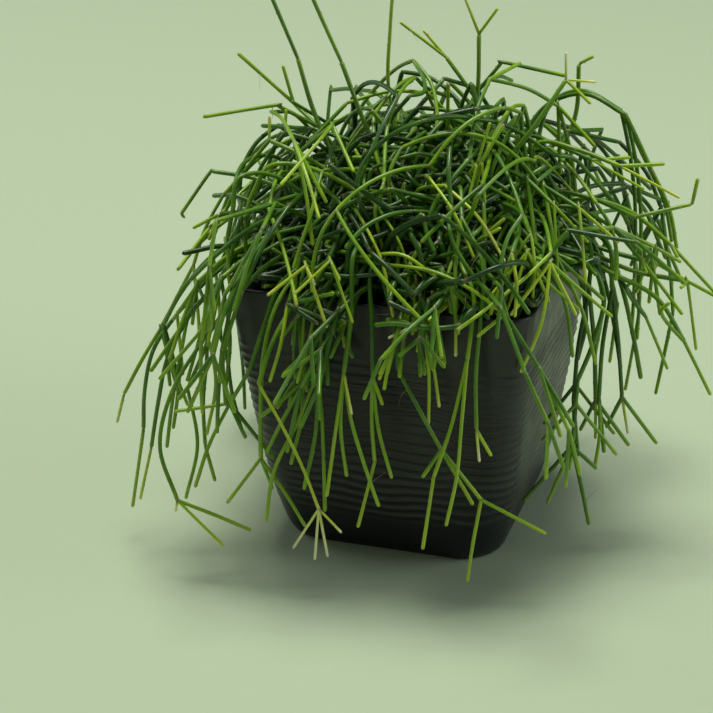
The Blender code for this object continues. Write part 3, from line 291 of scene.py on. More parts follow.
        (None, 0.3, 466, 130, -36, 474, 96, -40), (0, 0.35, 484, 74, -40, 502, 62, -40),
        (1, 0.45, 524, 58, -40, 548, 62, -40, 566, 76, -38), (0, 0.4, 464, 74, -46, 446, 57, -48),
        (3, 0.75, 424, 40, -46, 400, 22, -44), (3, 0.8, 438, 42, -48, 423, 30, -48),
    ],
    "top_y": [
        (None, 0.4, 476, 120, -20, 478, 80, -22, 479, 34, -24), (0, 0.8, 466, 18, -25, 462, -10, -26),
        (0, 0.75, 490, 20, -23, 498, 8, -22),
    ],
    "top_plume": [
        (None, 0.7, 393, 110, -26, 387, 70, -26, 391, 20, -26, 394, -24, -26),
    ],
    "top_left_tall": [
        (None, 0.35, 350, 190, 0, 318, 122, -10, 298, 58, -16), (0, 0.4, 281, 18, -18, 262, -26, -20),
    ],
    "top_left_tall_near": [
        (None, 0.35, 392, 190, 12, 364, 122, 4, 341, 61, -2), (0, 0.4, 325, 26, -4, 304, -22, -6),
    ],
    "left_high": [
        (None, 0.3, 336, 150, -16, 318, 128, -20), (0, 0.35, 300, 112, -14, 276, 106, -16),
        (1, 0.5, 238, 108, -16, 202, 118, -16), (0, 0.35, 293, 104, -34),
        (3, 0.5, 268, 78, -36, 237, 54, -38), (3, 0.6, 300, 80, -36, 282, 66, -37),
    ],
    "left_elbow": [
        (None, 0.35, 300, 196, 0, 263, 181, -4, 237, 173, -6, 211, 171, -6),
        (0, 0.5, 196, 192, -4, 181, 214, -2), (1, 0.8, 185, 218, -2),
    ],
    "left_pointer": [
        (None, 0.2, 310, 212, 12, 272, 210, 10, 221, 214, 6), (0, 0.6, 208, 221, 6, 194, 228, 6),
        (0, 0.6, 214, 226, 8, 210, 240, 10),
    ],
    "left_brow": [
        (None, 0.35, 330, 176, 10, 296, 148, 4, 270, 140, 0),
        (0, 0.4, 248, 168, 0, 229, 196, 0, 224, 216, 2), (0, 0.8, 286, 120, -2, 270, 116, -4),
    ],
    "middle_yellow_hook": [
        (None, 0.6, 470, 240, 30, 470, 195, 34, 482, 162, 38),
        (0, 0.9, 502, 150, 38, 510, 138, 38, 504, 124, 36), (0, 0.8, 486, 180, 42, 485, 204, 46),
    ],
}

# Sprays that the photograph hides, on the far side: one joint after another by the seeded rule.
# Lengths are in millimetres, and a pair of numbers is the least and the most of a random draw.
FAR_SPRAYS = 11
FAR_SEED = 7
FAR_ARC = (math.radians(12), math.radians(228))
FAR_ROOT = (15, 55)
FAR_REACH = (0.85, 1.1)
TRIES = 30
LEVELS = 3
FIRST_AGE = (0.12, 0.3)
FIRST_LENGTH = (62, 105)
FIRST_CURL = 0.2
ARM_AGE = (0.03, 0.13)
ARM_LENGTH = (28, 58)
ARM_SPREAD = 0.48
ARM_SINK = 0.2
ARM_DROOP = 0.8
ARM_CURL = 0.12
ROOT_LEAN = 0.35
BEND_STEPS = 6
STEEP = (1.15, 1.5)
FLAT = (0.7, 1.1)
FARTHEST = 150 * MM

# Corners of the plant's outline in the photograph, in pixels. What grows by rule stays inside it.
PLANT_OUTLINE = (
    (150, 400), (152, 330), (182, 262), (212, 205), (226, 150), (258, 96), (312, 62), (392, 48),
    (470, 46), (560, 52), (612, 84), (642, 132), (668, 190), (700, 262), (716, 340), (668, 440),
    (612, 520), (560, 562), (190, 560), (138, 490),
)


def seen(across, down, near):
    """The point where the sight line of a pixel meets the upright plane that lies near mm towards the eye."""
    eye = EYE_AIM + EYE_DISTANCE * EYE_BACK
    ray = (
        -EYE_PIXELS * EYE_BACK
        + (across - AIM_PIXEL[0]) * EYE_RIGHT
        - (down - AIM_PIXEL[1]) * EYE_UP
    )
    reach = (near * MM - (eye - EYE_AIM) @ EYE_NEAR) / (ray @ EYE_NEAR)
    return eye + reach * ray


def half_width(z):
    """Half the pot's outer width at a height."""
    share = np.clip(z / POT_HEIGHT, 0, 1) ** SIDE_BOW
    return BASE_HALF_WIDTH + (RIM_HALF_WIDTH - BASE_HALF_WIDTH) * share


def corner_radius(z):
    """The pot's corner radius at a height."""
    return BASE_CORNER + (RIM_CORNER - BASE_CORNER) * np.clip(z / POT_HEIGHT, 0, 1)


def soil_top(x, y):
    """Height of the soil's mounded surface."""
    out = np.maximum(np.abs(x), np.abs(y)) / (RIM_HALF_WIDTH - WALL)
    return SOIL_EDGE + SOIL_MOUND * (1 - np.clip(out, 0, 1) ** 2)


def outside_by(x, y, half, corner):
    """Distance outside a square of that half width with round corners, negative inside it."""
    ax, ay = np.abs(x) - (half - corner), np.abs(y) - (half - corner)
    out = np.hypot(np.maximum(ax, 0), np.maximum(ay, 0))
    return out + np.minimum(np.maximum(ax, ay), 0) - corner


# Routes


def smooth_route(points, step):
    """A Catmull-Rom curve through the points, cut into nearly equal steps."""
    points = np.array(points, float)
    if len(points) > 2:
        padded = np.vstack([2 * points[0] - points[1], points, 2 * points[-1] - points[-2]])
        a, b, c, d = padded[:-3], padded[1:-2], padded[2:-1], padded[3:]
        t = np.linspace(0, 1, 9)[:-1, None, None]
        curve = 0.5 * (
            2 * b + (c - a) * t + (2 * a - 5 * b + 4 * c - d) * t**2 + (3 * b - a - 3 * c + d) * t**3
        )
        points = np.vstack([curve.transpose(1, 0, 2).reshape(-1, 3), points[-1:]])
    along = np.concatenate([[0], np.cumsum(np.linalg.norm(np.diff(points, axis=0), axis=1))])
    count = max(1, round(along[-1] / step))
    marks = np.linspace(0, along[-1], count + 1)
    return np.stack([np.interp(marks, along, points[:, k]) for k in range(3)], axis=1)


def root_spots():
    """Places for roots on the soil, in a sunflower pattern squared up to fill the pot."""
    index = np.arange(ROOT_SPOTS) + 0.5
    turn = index * GOLDEN_ANGLE
    reach = np.sqrt(index / ROOT_SPOTS) * (RIM_HALF_WIDTH - WALL - ROOT_MARGIN)
    square = 1 / np.maximum(np.abs(np.cos(turn)), np.abs(np.sin(turn)))
    reach = reach * (1 + SQUARED_UP * (square - 1))
    return np.stack([reach * np.cos(turn), reach * np.sin(turn)], axis=1)


def take_spot(spots, taken, wanted):
    """The free root spot nearest to a place."""
    away = np.linalg.norm(spots - wanted, axis=1)
    away[taken] = np.inf
    best = int(np.argmin(away))
    taken.append(best)
    return spots[best]


def radius_of(age, near_root=False):
    """Older stems are thicker."""
    radius = OLD_RADIUS + (YOUNG_RADIUS - OLD_RADIUS) * age
    return radius * (ROOT_SWELL if near_root else 1)


def root_start(spot, lean):
    """The three points that lead a stem straight out of its hole, leaning one way."""
    surface = np.array([spot[0], spot[1], soil_top(spot[0], spot[1])])
    up = np.array([lean[0], lean[1], 1.0])
    up /= np.linalg.norm(up)
    return [surface - ROOT_DEPTH * up, surface, surface + ROOT_LEAD * up]


def first_stem(start, route, radius, age):
    """A spray's first stem: its hole's points, then its route above the soil."""
    return None, np.vstack([start[:2], route]), radius, age


def seen_spray(name, spots, taken):
    """A spray that follows the photograph, as a list of (parent, points, radius, age)."""
    stems = []
    for after, age, *pixels in SEEN_SPRAYS[name]:
        via = [seen(*pixels[k:k + 3]) for k in range(0, len(pixels), 3)]
        if after is None:
            spot = take_spot(spots, taken, 0.5 * via[0][:2])
            lean = np.clip((via[0][:2] - spot) / LEAN_REACH, -0.5, 0.5)
            start = root_start(spot, lean)
            rise = start[2] + 0.4 * (via[0] - start[2])
            rise[2] += ARCH_RISE * np.linalg.norm(via[0][:2] - spot) + 3 * MM
            route = smooth_route([start[2], rise, *via], STEM_STEP)
            stems.append(first_stem(start, route, radius_of(age, True), age))
        else:
            start = stems[after][1][-1]
            stems.append((after, smooth_route([start, *via], STEM_STEP), radius_of(age), age))
    return stems


def bend_on(rng, start, way, length, droop, curl):
    """A stem's points from its start: it keeps its way, turned down by its weight and a little aside."""
    points = [start]
    side = rng.normal(0, curl, 3)
    for _ in range(BEND_STEPS):
        way = way + (np.array([0, 0, -droop]) + side) / BEND_STEPS
        way = way / np.linalg.norm(way)
        points.append(points[-1] + way * length / BEND_STEPS)
    return np.array(points), way


def pixels_of(points):
    """Where the photograph shows points: pixels across and down."""
    away = points - EYE_AIM
    depth = EYE_DISTANCE - away @ EYE_BACK
    across = AIM_PIXEL[0] + EYE_PIXELS * (away @ EYE_RIGHT) / depth
    down = AIM_PIXEL[1] - EYE_PIXELS * (away @ EYE_UP) / depth
    return across, down


def count_outside(stems):
    """How many of a spray's points lie outside the plant's outline in the photograph, or too far out."""
    places = np.concatenate([points for _, points, _, _ in stems])
    across, down = pixels_of(places)
    inside = np.zeros(len(across), bool)
    for (x0, y0), (x1, y1) in zip(PLANT_OUTLINE, (*PLANT_OUTLINE[1:], PLANT_OUTLINE[0])):
        if y0 != y1:
            level = (y0 > down) != (y1 > down)
            inside ^= level & (across < x0 + (down - y0) * (x1 - x0) / (y1 - y0))
    return int((~inside | (np.hypot(places[:, 0], places[:, 1]) > FARTHEST)).sum())


def without(stems, unwanted):
    """A spray without the arms that a test names, nor what those carry."""
    made, place_of = [], {}
    for number, stem in enumerate(stems):
        parent = stem[0]
        if parent is not None and (parent not in place_of or unwanted([stem])):
            continue
        place_of[number] = len(made)
        made.append((place_of.get(parent), *stem[1:]))
    return made


def best_of(grow):
    """The spray with the fewest points outside the outline, of several, less the arms still outside."""
    best, fewest = None, None
    for _ in range(TRIES):
        stems = grow()
        outside = count_outside(stems)
        if best is None or outside < fewest:
            best, fewest = stems, outside
        if outside == 0:
            break
    return without(best, count_outside)


def grown_spray(rng, turn, spot, lift, reach=1.0, arms=3):
    """A spray by the seeded rule: a first stem that arches out, then arms that fork at each joint."""
    turn = turn + rng.uniform(-0.15, 0.15)
    out = np.array([math.cos(turn), math.sin(turn)])
    start = root_start(spot, ROOT_LEAN * out)
    way = np.array([*(out * math.cos(lift)), math.sin(lift)])
    length = rng.uniform(*FIRST_LENGTH) * MM * reach
    points, way = bend_on(rng, start[2], way, length, 0.9 + 0.5 * lift, FIRST_CURL)
    age = rng.uniform(*FIRST_AGE)
    stems = [first_stem(start, smooth_route(points, STEM_STEP), radius_of(age, True), age)]
    fronts = [(0, way, age)]
    for level in range(LEVELS):
        grown = []
        for parent, way, age in fronts:
            for _ in range(rng.integers(1, 4) if level else arms):
                new_way = way + rng.normal(0, ARM_SPREAD, 3) - ARM_SINK * np.array([0, 0, level])
                new_way /= np.linalg.norm(new_way)
                length = rng.uniform(*ARM_LENGTH) * MM * reach
                begin = stems[parent][1][-1]
                points, end_way = bend_on(rng, begin, new_way, length, ARM_DROOP, ARM_CURL)
                young = min(1.0, age + rng.uniform(*ARM_AGE))
                stems.append((parent, smooth_route(points, STEM_STEP), radius_of(young), young))
                grown.append((len(stems) - 1, end_way, young))
        fronts = [grown[k] for k in sorted(rng.permutation(len(grown))[:arms])]
    return stems


# Moving the stems apart


def closest(p, q, r, s):
    """Shares along p-q and r-s of their closest points, for arrays of edge pairs."""
    u, v, w = q - p, s - r, p - r
    a, b, c = (u * u).sum(1), (u * v).sum(1), (v * v).sum(1)
    d, e = (u * w).sum(1), (v * w).sum(1)
    flat = a * c - b * b
    first = np.where(flat > 1e-12 * a * c, (b * e - c * d) / np.where(flat == 0, 1, flat), 0.5)
    first = np.clip(first, 0, 1)
    second = np.clip((b * first + e) / c, 0, 1)
    first = np.clip((b * second - d) / a, 0, 1)
    return first, second


class Crowd:
    """All the stems' points at once, so that they can be moved apart together."""

    def __init__(self, sprays):
        points, edges, radius, stem_of, fixed = [], [], [], [], []
        self.places = []
        self.family = {}
        stem_number = 0
        for spray_number, stems in enumerate(sprays):
            numbers, places = [], []
            for parent, route, width, _ in stems:
                first = len(points)
                if parent is None:
                    own = list(range(first, first + len(route)))
                    points.extend(route)
                    fixed.extend(own[:3])
                else:
                    own = [places[parent][-1], *range(first, first + len(route) - 1)]
                    points.extend(route[1:])
                for a, b in zip(own[:-1], own[1:]):
                    edges.append((a, b))
                    radius.append(width)
                    stem_of.append(stem_number)
                self.family[stem_number] = (spray_number, parent, len(numbers))
                numbers.append(stem_number)
                places.append(own)
                stem_number += 1
            self.places.append(places)
        self.rest = np.array(points)
        self.points = self.rest.copy()
        self.edges = np.array(edges)
        self.radius = np.array(radius)
        self.stem_of = np.array(stem_of)
        self.movable = np.ones((len(points), 1))
        self.movable[fixed] = 0
        kin = np.zeros((stem_number, stem_number), bool)
        for one, (spray, parent, place) in self.family.items():
            for two, (other_spray, other_parent, other_place) in self.family.items():
                if spray == other_spray:
                    kin[one, two] = (
                        one == two
                        or parent == other_parent
                        or parent == other_place
                        or other_parent == place
                    )
        self.kin = kin

    def near_pairs(self, within):
        """Pairs of edges of unrelated stems whose middles lie near each other."""
        begin, end = self.points[self.edges[:, 0]], self.points[self.edges[:, 1]]
        middle = (0.5 * (begin + end)).astype(np.float32)
        reach = (0.5 * np.linalg.norm(end - begin, axis=1) + within).astype(np.float32)
        found = []
        for row in range(0, len(middle), PAIRS_AT_ONCE):
            part = slice(row, row + PAIRS_AT_ONCE)
            away = np.linalg.norm(middle[part, None] - middle[None], axis=2)
            one, two = np.nonzero(away < reach[part, None] + reach[None])
            one = one + row
            keep = one < two
            found.append(np.stack([one[keep], two[keep]], axis=1))
        pairs = np.concatenate(found)
        stems = self.stem_of[pairs]
        return pairs[~self.kin[stems[:, 0], stems[:, 1]]]

    def part_stems(self, pairs, gap):
        """Pushes each pair of edges that come too near to each other apart."""
        one, two = self.edges[pairs[:, 0]], self.edges[pairs[:, 1]]
        p, q, r, s = (self.points[i] for i in (one[:, 0], one[:, 1], two[:, 0], two[:, 1]))
        t, u = closest(p, q, r, s)
        apart = (p + (q - p) * t[:, None]) - (r + (s - r) * u[:, None])
        away = np.linalg.norm(apart, axis=1)
        short = self.radius[pairs[:, 0]] + self.radius[pairs[:, 1]] + gap - away
        hit = short > 0
        if not hit.any():
            return
        one, two, t, u = one[hit], two[hit], t[hit], u[hit]
        way = apart[hit] / np.maximum(away[hit], 1e-6)[:, None]
        way[away[hit] < 1e-6] = (0, 0, 1)
        push = PUSH * short[hit][:, None] * way
        move = np.zeros_like(self.points)
        count = np.zeros((len(self.points), 1))
        for index, weight, sign in (
            (one[:, 0], 1 - t, 1),
            (one[:, 1], t, 1),
            (two[:, 0], 1 - u, -1),
            (two[:, 1], u, -1),
        ):
            share = STEM_SHARE + (1 - STEM_SHARE) * weight[:, None]
            np.add.at(move, index, sign * share * push)
            np.add.at(count, index, 1)
        self.points += self.movable * move / np.maximum(np.sqrt(count), 1)

    def clear_pot(self):
        """Keeps every stem off the pot's wall, above the soil and above the ground."""
        begin, end = self.edges[:, 0], self.edges[:, 1]
        crossing = inside_pot(self.points[begin]) != inside_pot(self.points[end])
        move = np.zeros_like(self.points)
        most = np.zeros(len(self.points))
        for share in np.linspace(0, 1, WALL_SAMPLES):
            place = self.points[begin] * (1 - share) + self.points[end] * share
            push = pot_push(place, self.radius, crossing)
            for index, weight in ((begin, 1 - share), (end, share)):
                scaled = push * (WALL_SHARE + (1 - WALL_SHARE) * weight)
                size = np.linalg.norm(scaled, axis=1)
                order = np.argsort(size)
                ordered, scaled, size = index[order], scaled[order], size[order]
                larger = size > most[ordered]
                most[ordered[larger]] = size[larger]
                move[ordered[larger]] = scaled[larger]
        self.points += self.movable * move

    def ease(self, share):
        """Spreads each point's shift to its neighbours along the stem, so that no stem kinks."""
        shift = self.points - self.rest
        total = np.zeros_like(shift)
        count = np.zeros((len(shift), 1))
        for one, two in ((0, 1), (1, 0)):
            np.add.at(total, self.edges[:, one], shift[self.edges[:, two]])
            np.add.at(count, self.edges[:, one], 1)
        mixed = (1 - share) * shift + share * total / np.maximum(count, 1)
        self.points = np.where(self.movable > 0, self.rest + mixed, self.points)

    def settle(self, rounds, gap):
        """Moves the stems apart, eased along their length at first."""
        for turn in range(rounds):
            if turn % PAIRS_EVERY == 0:
                pairs = self.near_pairs(PAIRS_WITHIN)
            early = turn < EARLY * rounds
            self.part_stems(pairs, gap * (EARLY_GAP if early else LATE_GAP))
            self.clear_pot()
            if early:
                self.ease(EARLY_EASE)
            elif turn < EASED * rounds:
                self.ease(LATE_EASE)

    def settled(self, sprays, first):
        """Sprays by name as they stand now. The first of them is the crowd's spray of that number."""
        return {
            name: [
                (parent, self.points[own], width, age)
                for (parent, _, width, age), own in zip(stems, places)
            ]
            for (name, stems), places in zip(sprays.items(), self.places[first:])
        }


def inside_pot(place):
    """Whether points lie nearer the pot's axis than the middle of its wall."""
    x, y, z = place.T
    return outside_by(x, y, half_width(z), corner_radius(z)) < -0.5 * WALL


def outward_way(x, y, half, corner):
    """The level way straight out of a square of that half width with round corners."""
    ax, ay = np.abs(x) - (half - corner), np.abs(y) - (half - corner)
    in_corner = (ax > 0) & (ay > 0)
    way = np.stack([np.where(in_corner, ax, ax > ay), np.where(in_corner, ay, ax <= ay)], axis=1)
    way = way * np.stack([np.sign(x), np.sign(y)], axis=1)
    return way / np.maximum(np.linalg.norm(way, axis=1), 1e-9)[:, None]


def pot_push(place, radius, crossing):
    """How far points must move to be clear of the pot's wall, its soil and the ground.

    A point by the wall goes over the rim where that is the shorter way, or where its stem
    crosses the wall, and otherwise straight out or in.
    """
    x, y, z = place.T
    room = radius + CLEARANCE
    half, corner = half_width(z), corner_radius(z)
    out = outside_by(x, y, half, corner)
    inside = out < -0.5 * WALL
    low = z < POT_HEIGHT + room
    to_top = POT_HEIGHT + room - z
    aside = np.where(inside, -(room + WALL + out), room + RIB_DEPTH - out)
    blocked = low & np.where(inside, aside < 0, aside > 0)
    climbs = blocked & ((to_top < np.abs(aside) + 3 * MM) | crossing)
    slides = blocked & ~climbs
    push = np.zeros_like(place)
    push[:, :2] = np.where(slides, aside, 0)[:, None] * outward_way(x, y, half, corner)
    push[:, 2] = np.where(climbs, to_top, 0)
    soil = soil_top(x, y) + room
    push[:, 2] = np.maximum(push[:, 2], np.where(inside & (z < soil), soil - z, 0))
    ground = radius + GAP
    push[:, 2] = np.maximum(push[:, 2], np.where(~inside & (z < ground), ground - z, 0))
    return push


def plan_sprays():
    """Every spray's stems, moved apart, by name."""
    spots, taken = root_spots(), []
    sprays = {name: seen_spray(name, spots, taken) for name in SEEN_SPRAYS}
    rng = np.random.default_rng(FAR_SEED)
    for number in range(FAR_SPRAYS):
        turn = FAR_ARC[0] + (number + 0.5) / FAR_SPRAYS * (FAR_ARC[1] - FAR_ARC[0])
        out = np.array([math.cos(turn), math.sin(turn)])
        spot = take_spot(spots, taken, out * rng.uniform(*FAR_ROOT) * MM)
        reach = rng.uniform(*FAR_REACH)
        lift = rng.uniform(*(STEEP if number % 2 else FLAT))
        sprays[f"far_{number + 1:02d}"] = best_of(lambda: grown_spray(rng, turn, spot, lift, reach))
    crowd = Crowd(list(sprays.values()))
    crowd.settle(SETTLE_ROUNDS, STEM_GAP)
    return crowd.settled(sprays, 0)


# More stems, which only the finished plant has

# How many of each kind, and the seed of its random draws.
CORE_SPRAYS, CORE_SEED = 50, 21
NEST_SPRAYS, NEST_SEED = 38, 12
ARCH_SPRAYS, ARCH_SEED = 30, 33
RIM_SPRAYS, RIM_SEED = 13, 5
COMPANION_SEED = 8
SPOTS_TRIED = 40
SPOT_MARGIN = 8 * MM

# A companion's turn round the pot either way, and its size, thickness and age beside the other's.
COMPANIONS_TRIED = 8
FORKS_MISSING = 0.22
COMPANION_TURN = (0.05, 0.2)
COMPANION_SIZE = (0.84, 0.98)
COMPANION_WIDTH = (0.88, 1.04)
COMPANION_AGE = (-0.14, 0.06)

# These get no companion, because the photograph shows few stems where it would hang.
ALONE = (
    "far_08", "far_10", "far_11", "front_pale_tips", "front_lowest", "ground_loop", "left_cascade",
    "left_elbow", "left_fork", "left_outer", "left_pointer", "left_second", "left_star", "left_third",
    "right_high_curve",
)

# The first stem of a cutting in the middle: its least and most age, plumpness and length in millimetres.
# Their low age makes the middle's stems dark. This is partly the old stems' own dark green and partly painted
# shade deep in the mound.
CORE_AGE_AND_SHADE = (0, 0.1)
CORE_PLUMP = (1.0, 1.28)
CORE_FIRST = (14, 34)
NEST_AGE = (0.04, 0.4)
NEST_FIRST = (52, 100)

# How its arms fill a dome: their levels, how many carry on, forks and tries; how much an arm keeps its
# way, wanders and rises; its length in millimetres, droop and curl; the dome's height and reach; and
# how the arms are cut into steps, grow younger and narrow.
Habit = namedtuple("Habit", (
    "levels", "fronts", "forks", "tries", "keep", "wander", "rise", "length", "droop", "curl",
    "height", "reach", "step", "youth", "plump", "taper",
))
CORE = Habit(
    levels=4, fronts=4, forks=4, tries=7, keep=0.45, wander=1, rise=0.12, length=(15, 36), droop=0.25,
    curl=0.3, height=76 * MM, reach=104 * MM, step=11 * MM, youth=(0.02, 0.07), plump=1, taper=0.05,
)
NEST = Habit(
    levels=3, fronts=3, forks=3, tries=9, keep=0.7, wander=0.8, rise=0, length=(36, 84), droop=0.9,
    curl=0.7, height=104 * MM, reach=122 * MM, step=14 * MM, youth=(0.02, 0.1), plump=1, taper=0,
)

# Arches and rim sprays follow the seeded rule: their size beside a far spray's, and for the latter
# the turn from the viewer's side, how far out in millimetres the root is and how steeply they rise.
ARCH_REACH = (0.6, 0.85)
VIEWER_TURN = EYE_TURN - math.pi / 2
RIM_TURN = (-1.25, 0.35)
RIM_ROOT = (30, 58)
RIM_LIFT = (0.5, 0.9)
RIM_REACH = (0.3, 0.46)

MORE_ROUNDS = 90
MORE_GAP = 0.2 * MM

# Below this line of pixels the photograph shows the pot's front between few stems.
OPEN_FRONT = ((300, 430), (400, 405), (440, 405), (500, 400), (540, 420))


def open_spot(rng, used):
    """A place on the soil that is far from the roots already there, of some tried at random."""
    reach = RIM_HALF_WIDTH - WALL - SPOT_MARGIN
    tried = rng.uniform(-reach, reach, (SPOTS_TRIED, 2))
    away = np.linalg.norm(tried[:, None] - np.array(used)[None], axis=2).min(axis=1)
    best = tried[int(np.argmax(away))]
    used.append(best)
    return best


def under_dome(place, height, reach):
    """Whether a point lies between the soil and a round top."""
    out = math.hypot(place[0], place[1]) / reach
    top = SOIL_EDGE + height * (1 - out**2)
    return soil_top(place[0], place[1]) + 4 * MM < place[2] < top


def any_way(rng):
    """A way that is equally likely to point anywhere."""
    way = rng.normal(0, 1, 3)
    return way / np.linalg.norm(way)


def inside_arms(rng, stems, way, habit):
    """Adds arms to a spray with one stem. Of the tries at each fork, the first under the dome stays."""
    age = stems[0][3]
    fronts = [(0, way)]
    for level in range(habit.levels):
        grown = []
        for parent, way in fronts:
            for _ in range(rng.integers(1, habit.forks)):
                for _ in range(habit.tries):
                    new_way = habit.keep * way + habit.wander * any_way(rng) + (0, 0, habit.rise)
                    length = rng.uniform(*habit.length) * MM
                    begin = stems[parent][1][-1]
                    points, end_way = bend_on(rng, begin, new_way, length, habit.droop, habit.curl)
                    if all(under_dome(points[k], habit.height, habit.reach) for k in (3, -1)):
                        young = min(1, age + rng.uniform(*habit.youth) * (level + 1))
                        width = habit.plump * radius_of(young) * (1 - habit.taper * level)
                        stems.append((parent, smooth_route(points, habit.step), width, young))
                        grown.append((len(stems) - 1, end_way))
                        break
        fronts = grown[:habit.fronts]
    return stems


def core_spray(rng, used):
    """A short, plump, much forked cutting: each joint turns its own way below the dome."""
    spot = open_spot(rng, used)
    way = any_way(rng) + (0, 0, 1.3)
    way[2] = abs(way[2])
    start = root_start(spot, np.clip(0.3 * way[:2], -0.35, 0.35))
    # The low age darkens the stem: the old stem's own dark green, and painted shade in the mound's middle.
    age = rng.uniform(*CORE_AGE_AND_SHADE)
    plump = rng.uniform(*CORE_PLUMP)
    points, way = bend_on(rng, start[2], way, rng.uniform(*CORE_FIRST) * MM, 0.1, 0.4)
    stems = [first_stem(start, smooth_route(points, CORE.step), plump * radius_of(age, True), age)]
    return inside_arms(rng, stems, way, CORE._replace(plump=plump))


def nest_spray(rng, used):
    """A longer cutting that curls through the mound's open top: long bowed joints, few forks."""
    spot = open_spot(rng, used)
    age = rng.uniform(*NEST_AGE)
    for _ in range(NEST.tries):
        way = any_way(rng) + (0, 0, 1.6)
        start = root_start(spot, np.clip(0.2 * way[:2], -0.3, 0.3))
        points, way = bend_on(rng, start[2], way, rng.uniform(*NEST_FIRST) * MM, 0.4, 0.6)
        if under_dome(points[-1], NEST.height, NEST.reach):
            break
    stems = [first_stem(start, smooth_route(points, NEST.step), radius_of(age, True), age)]
    return inside_arms(rng, stems, way, NEST)


def hides_front(stems):
    """How many points of a spray hang before the part of the pot that the photograph shows."""
    points = np.concatenate([points for _, points, _, _ in stems])
    across, down = pixels_of(points)
    line = np.array(OPEN_FRONT)
    within = (across > line[0, 0]) & (across < line[-1, 0]) & (points @ EYE_NEAR > 0)
    return int((within & (down > np.interp(across, line[:, 0], line[:, 1]))).sum())


def companion(rng, stems, spot):
    """A spray like a settled one: turned a little round the pot, drawn in, with some forks missing.

    Its root stands elsewhere, and that shift fades out along its first stem.
    """
    turn = rng.choice((-1, 1)) * rng.uniform(*COMPANION_TURN)
    c, s = math.cos(turn), math.sin(turn)
    shrink = rng.uniform(*COMPANION_SIZE)
    spin = np.array([[c * shrink, s * shrink, 0], [-s * shrink, c * shrink, 0], [0, 0, 1]])
    made, place_of = [], {}
    for number, (parent, points, radius, age) in enumerate(stems):
        if parent is not None and (parent not in place_of or rng.random() < FORKS_MISSING):
            continue
        moved = points @ spin
        if parent is None:
            start = np.array(root_start(spot, np.zeros(2)))
            fade = (1 - np.linspace(0, 1, len(moved) - 2)) ** 2
            moved[2:] += fade[:, None] * (start[2] - moved[2])
            moved[:2] = start[:2]
        place_of[number] = len(made)
        own_age = float(np.clip(age + rng.uniform(*COMPANION_AGE), 0.05, 0.62))
        made.append((place_of.get(parent), moved, radius * rng.uniform(*COMPANION_WIDTH), own_age))
    return made


def best_companion(rng, stems, spot):
    """The companion, of several, that least leaves the outline or hides the pot's front."""
    tried = [companion(rng, stems, spot) for _ in range(COMPANIONS_TRIED)]
    return min(tried, key=lambda made: count_outside(made) + 2 * hides_front(made) - 0.2 * len(made))


def trimmed(stems):
    """A spray without the arms that hide the pot's front or leave the outline."""
    return without(stems, lambda alone: hides_front(alone) or count_outside(alone))


def grown_more(sprays):
    """The added sprays by name: the crowded middle, its open top, companions of the settled ones,
    arches all round and short ones that lie over the rim in front, to the left."""
    used = [stems[0][1][1][:2] for stems in sprays.values()]
    more = {}
    for kind, count, seed, grow in (
        ("core", CORE_SPRAYS, CORE_SEED, core_spray),
        ("nest", NEST_SPRAYS, NEST_SEED, nest_spray),
    ):
        rng = np.random.default_rng(seed)
        for number in range(count):
            more[f"{kind}_{number + 1:02d}"] = grow(rng, used)
    rng = np.random.default_rng(COMPANION_SEED)
    for name, stems in sprays.items():
        if name not in ALONE and not name.startswith("top_"):
            more[f"beside_{name}"] = trimmed(best_companion(rng, stems, open_spot(rng, used)))
    rng = np.random.default_rng(ARCH_SEED)
    for number in range(ARCH_SPRAYS):
        turn = 2 * math.pi * (number + rng.uniform(0.1, 0.9)) / ARCH_SPRAYS
        reach = rng.uniform(*ARCH_REACH)
        lift = rng.uniform(FLAT[0], STEEP[1])
        spot = open_spot(rng, used)
        grown = best_of(lambda: grown_spray(rng, turn, spot, lift, reach, 2))
        more[f"arch_{number + 1:02d}"] = trimmed(grown)
    rng = np.random.default_rng(RIM_SEED)
    for number in range(RIM_SPRAYS):
        turn = VIEWER_TURN + rng.uniform(*RIM_TURN)
        spot = rng.uniform(*RIM_ROOT) * MM * np.array([math.cos(turn), math.sin(turn)])
        lift, reach = rng.uniform(*RIM_LIFT), rng.uniform(*RIM_REACH)
        more[f"rim_{number + 1:02d}"] = trimmed(grown_spray(rng, turn, spot, lift, reach, 2))
    return more


def settle_more(sprays, more):
    """Moves the added stems clear of the settled ones, which stay, and of each other."""
    crowd = Crowd(list(sprays.values()) + list(more.values()))
    for places in crowd.places[:len(sprays)]:
        crowd.movable[np.concatenate(places)] = 0
    crowd.settle(MORE_ROUNDS, MORE_GAP)
    return crowd.settled(more, len(sprays))


# Fine stems

SKIN_SEED = 3
CURVE_STEP = 1.2 * MM
FINE_STEP = 2.4 * MM
FINE_SIDES = 9
TIP_RINGS = np.array([0.55, 0.22, 0.04])
TIP_SHARE = 0.04

# A stem's form: how deep it sinks into its parent, its neck, its slow swelling, and how fast younger
# ones get slimmer, down to the least.
SUNK = 1.2 * MM
NECK = 5 * MM
NECK_WIDTH = 0.74
NECK_CURVE = 0.6
SWELL = 0.035
SWELL_LENGTH = 7 * MM
SLIMMING = 1.6
SLIM = 0.8

# Its looks: its skin's youth beside its age, the fresh tip, the scar at its neck and the bud at its tip.
YOUTH_SHARE = 0.92
YOUTH_SPREAD = (-0.08, 0.06)
YOUTH_ALONG, YOUTH_AT_TIP = 0.07, 0.1
FRESH_TIP = 9 * MM
# Painted light: the arms of the sprays in front are made this much younger, so paler and yellower, standing
# in for the light that falls on the front.
FRONT_PAINTED_LIGHT = 0.07
HOOK_AGE = 0.6
SCAR_LENGTH = 1.3 * MM
BUD_LENGTH = 1.1 * MM
BUD_SHARE = 0.15


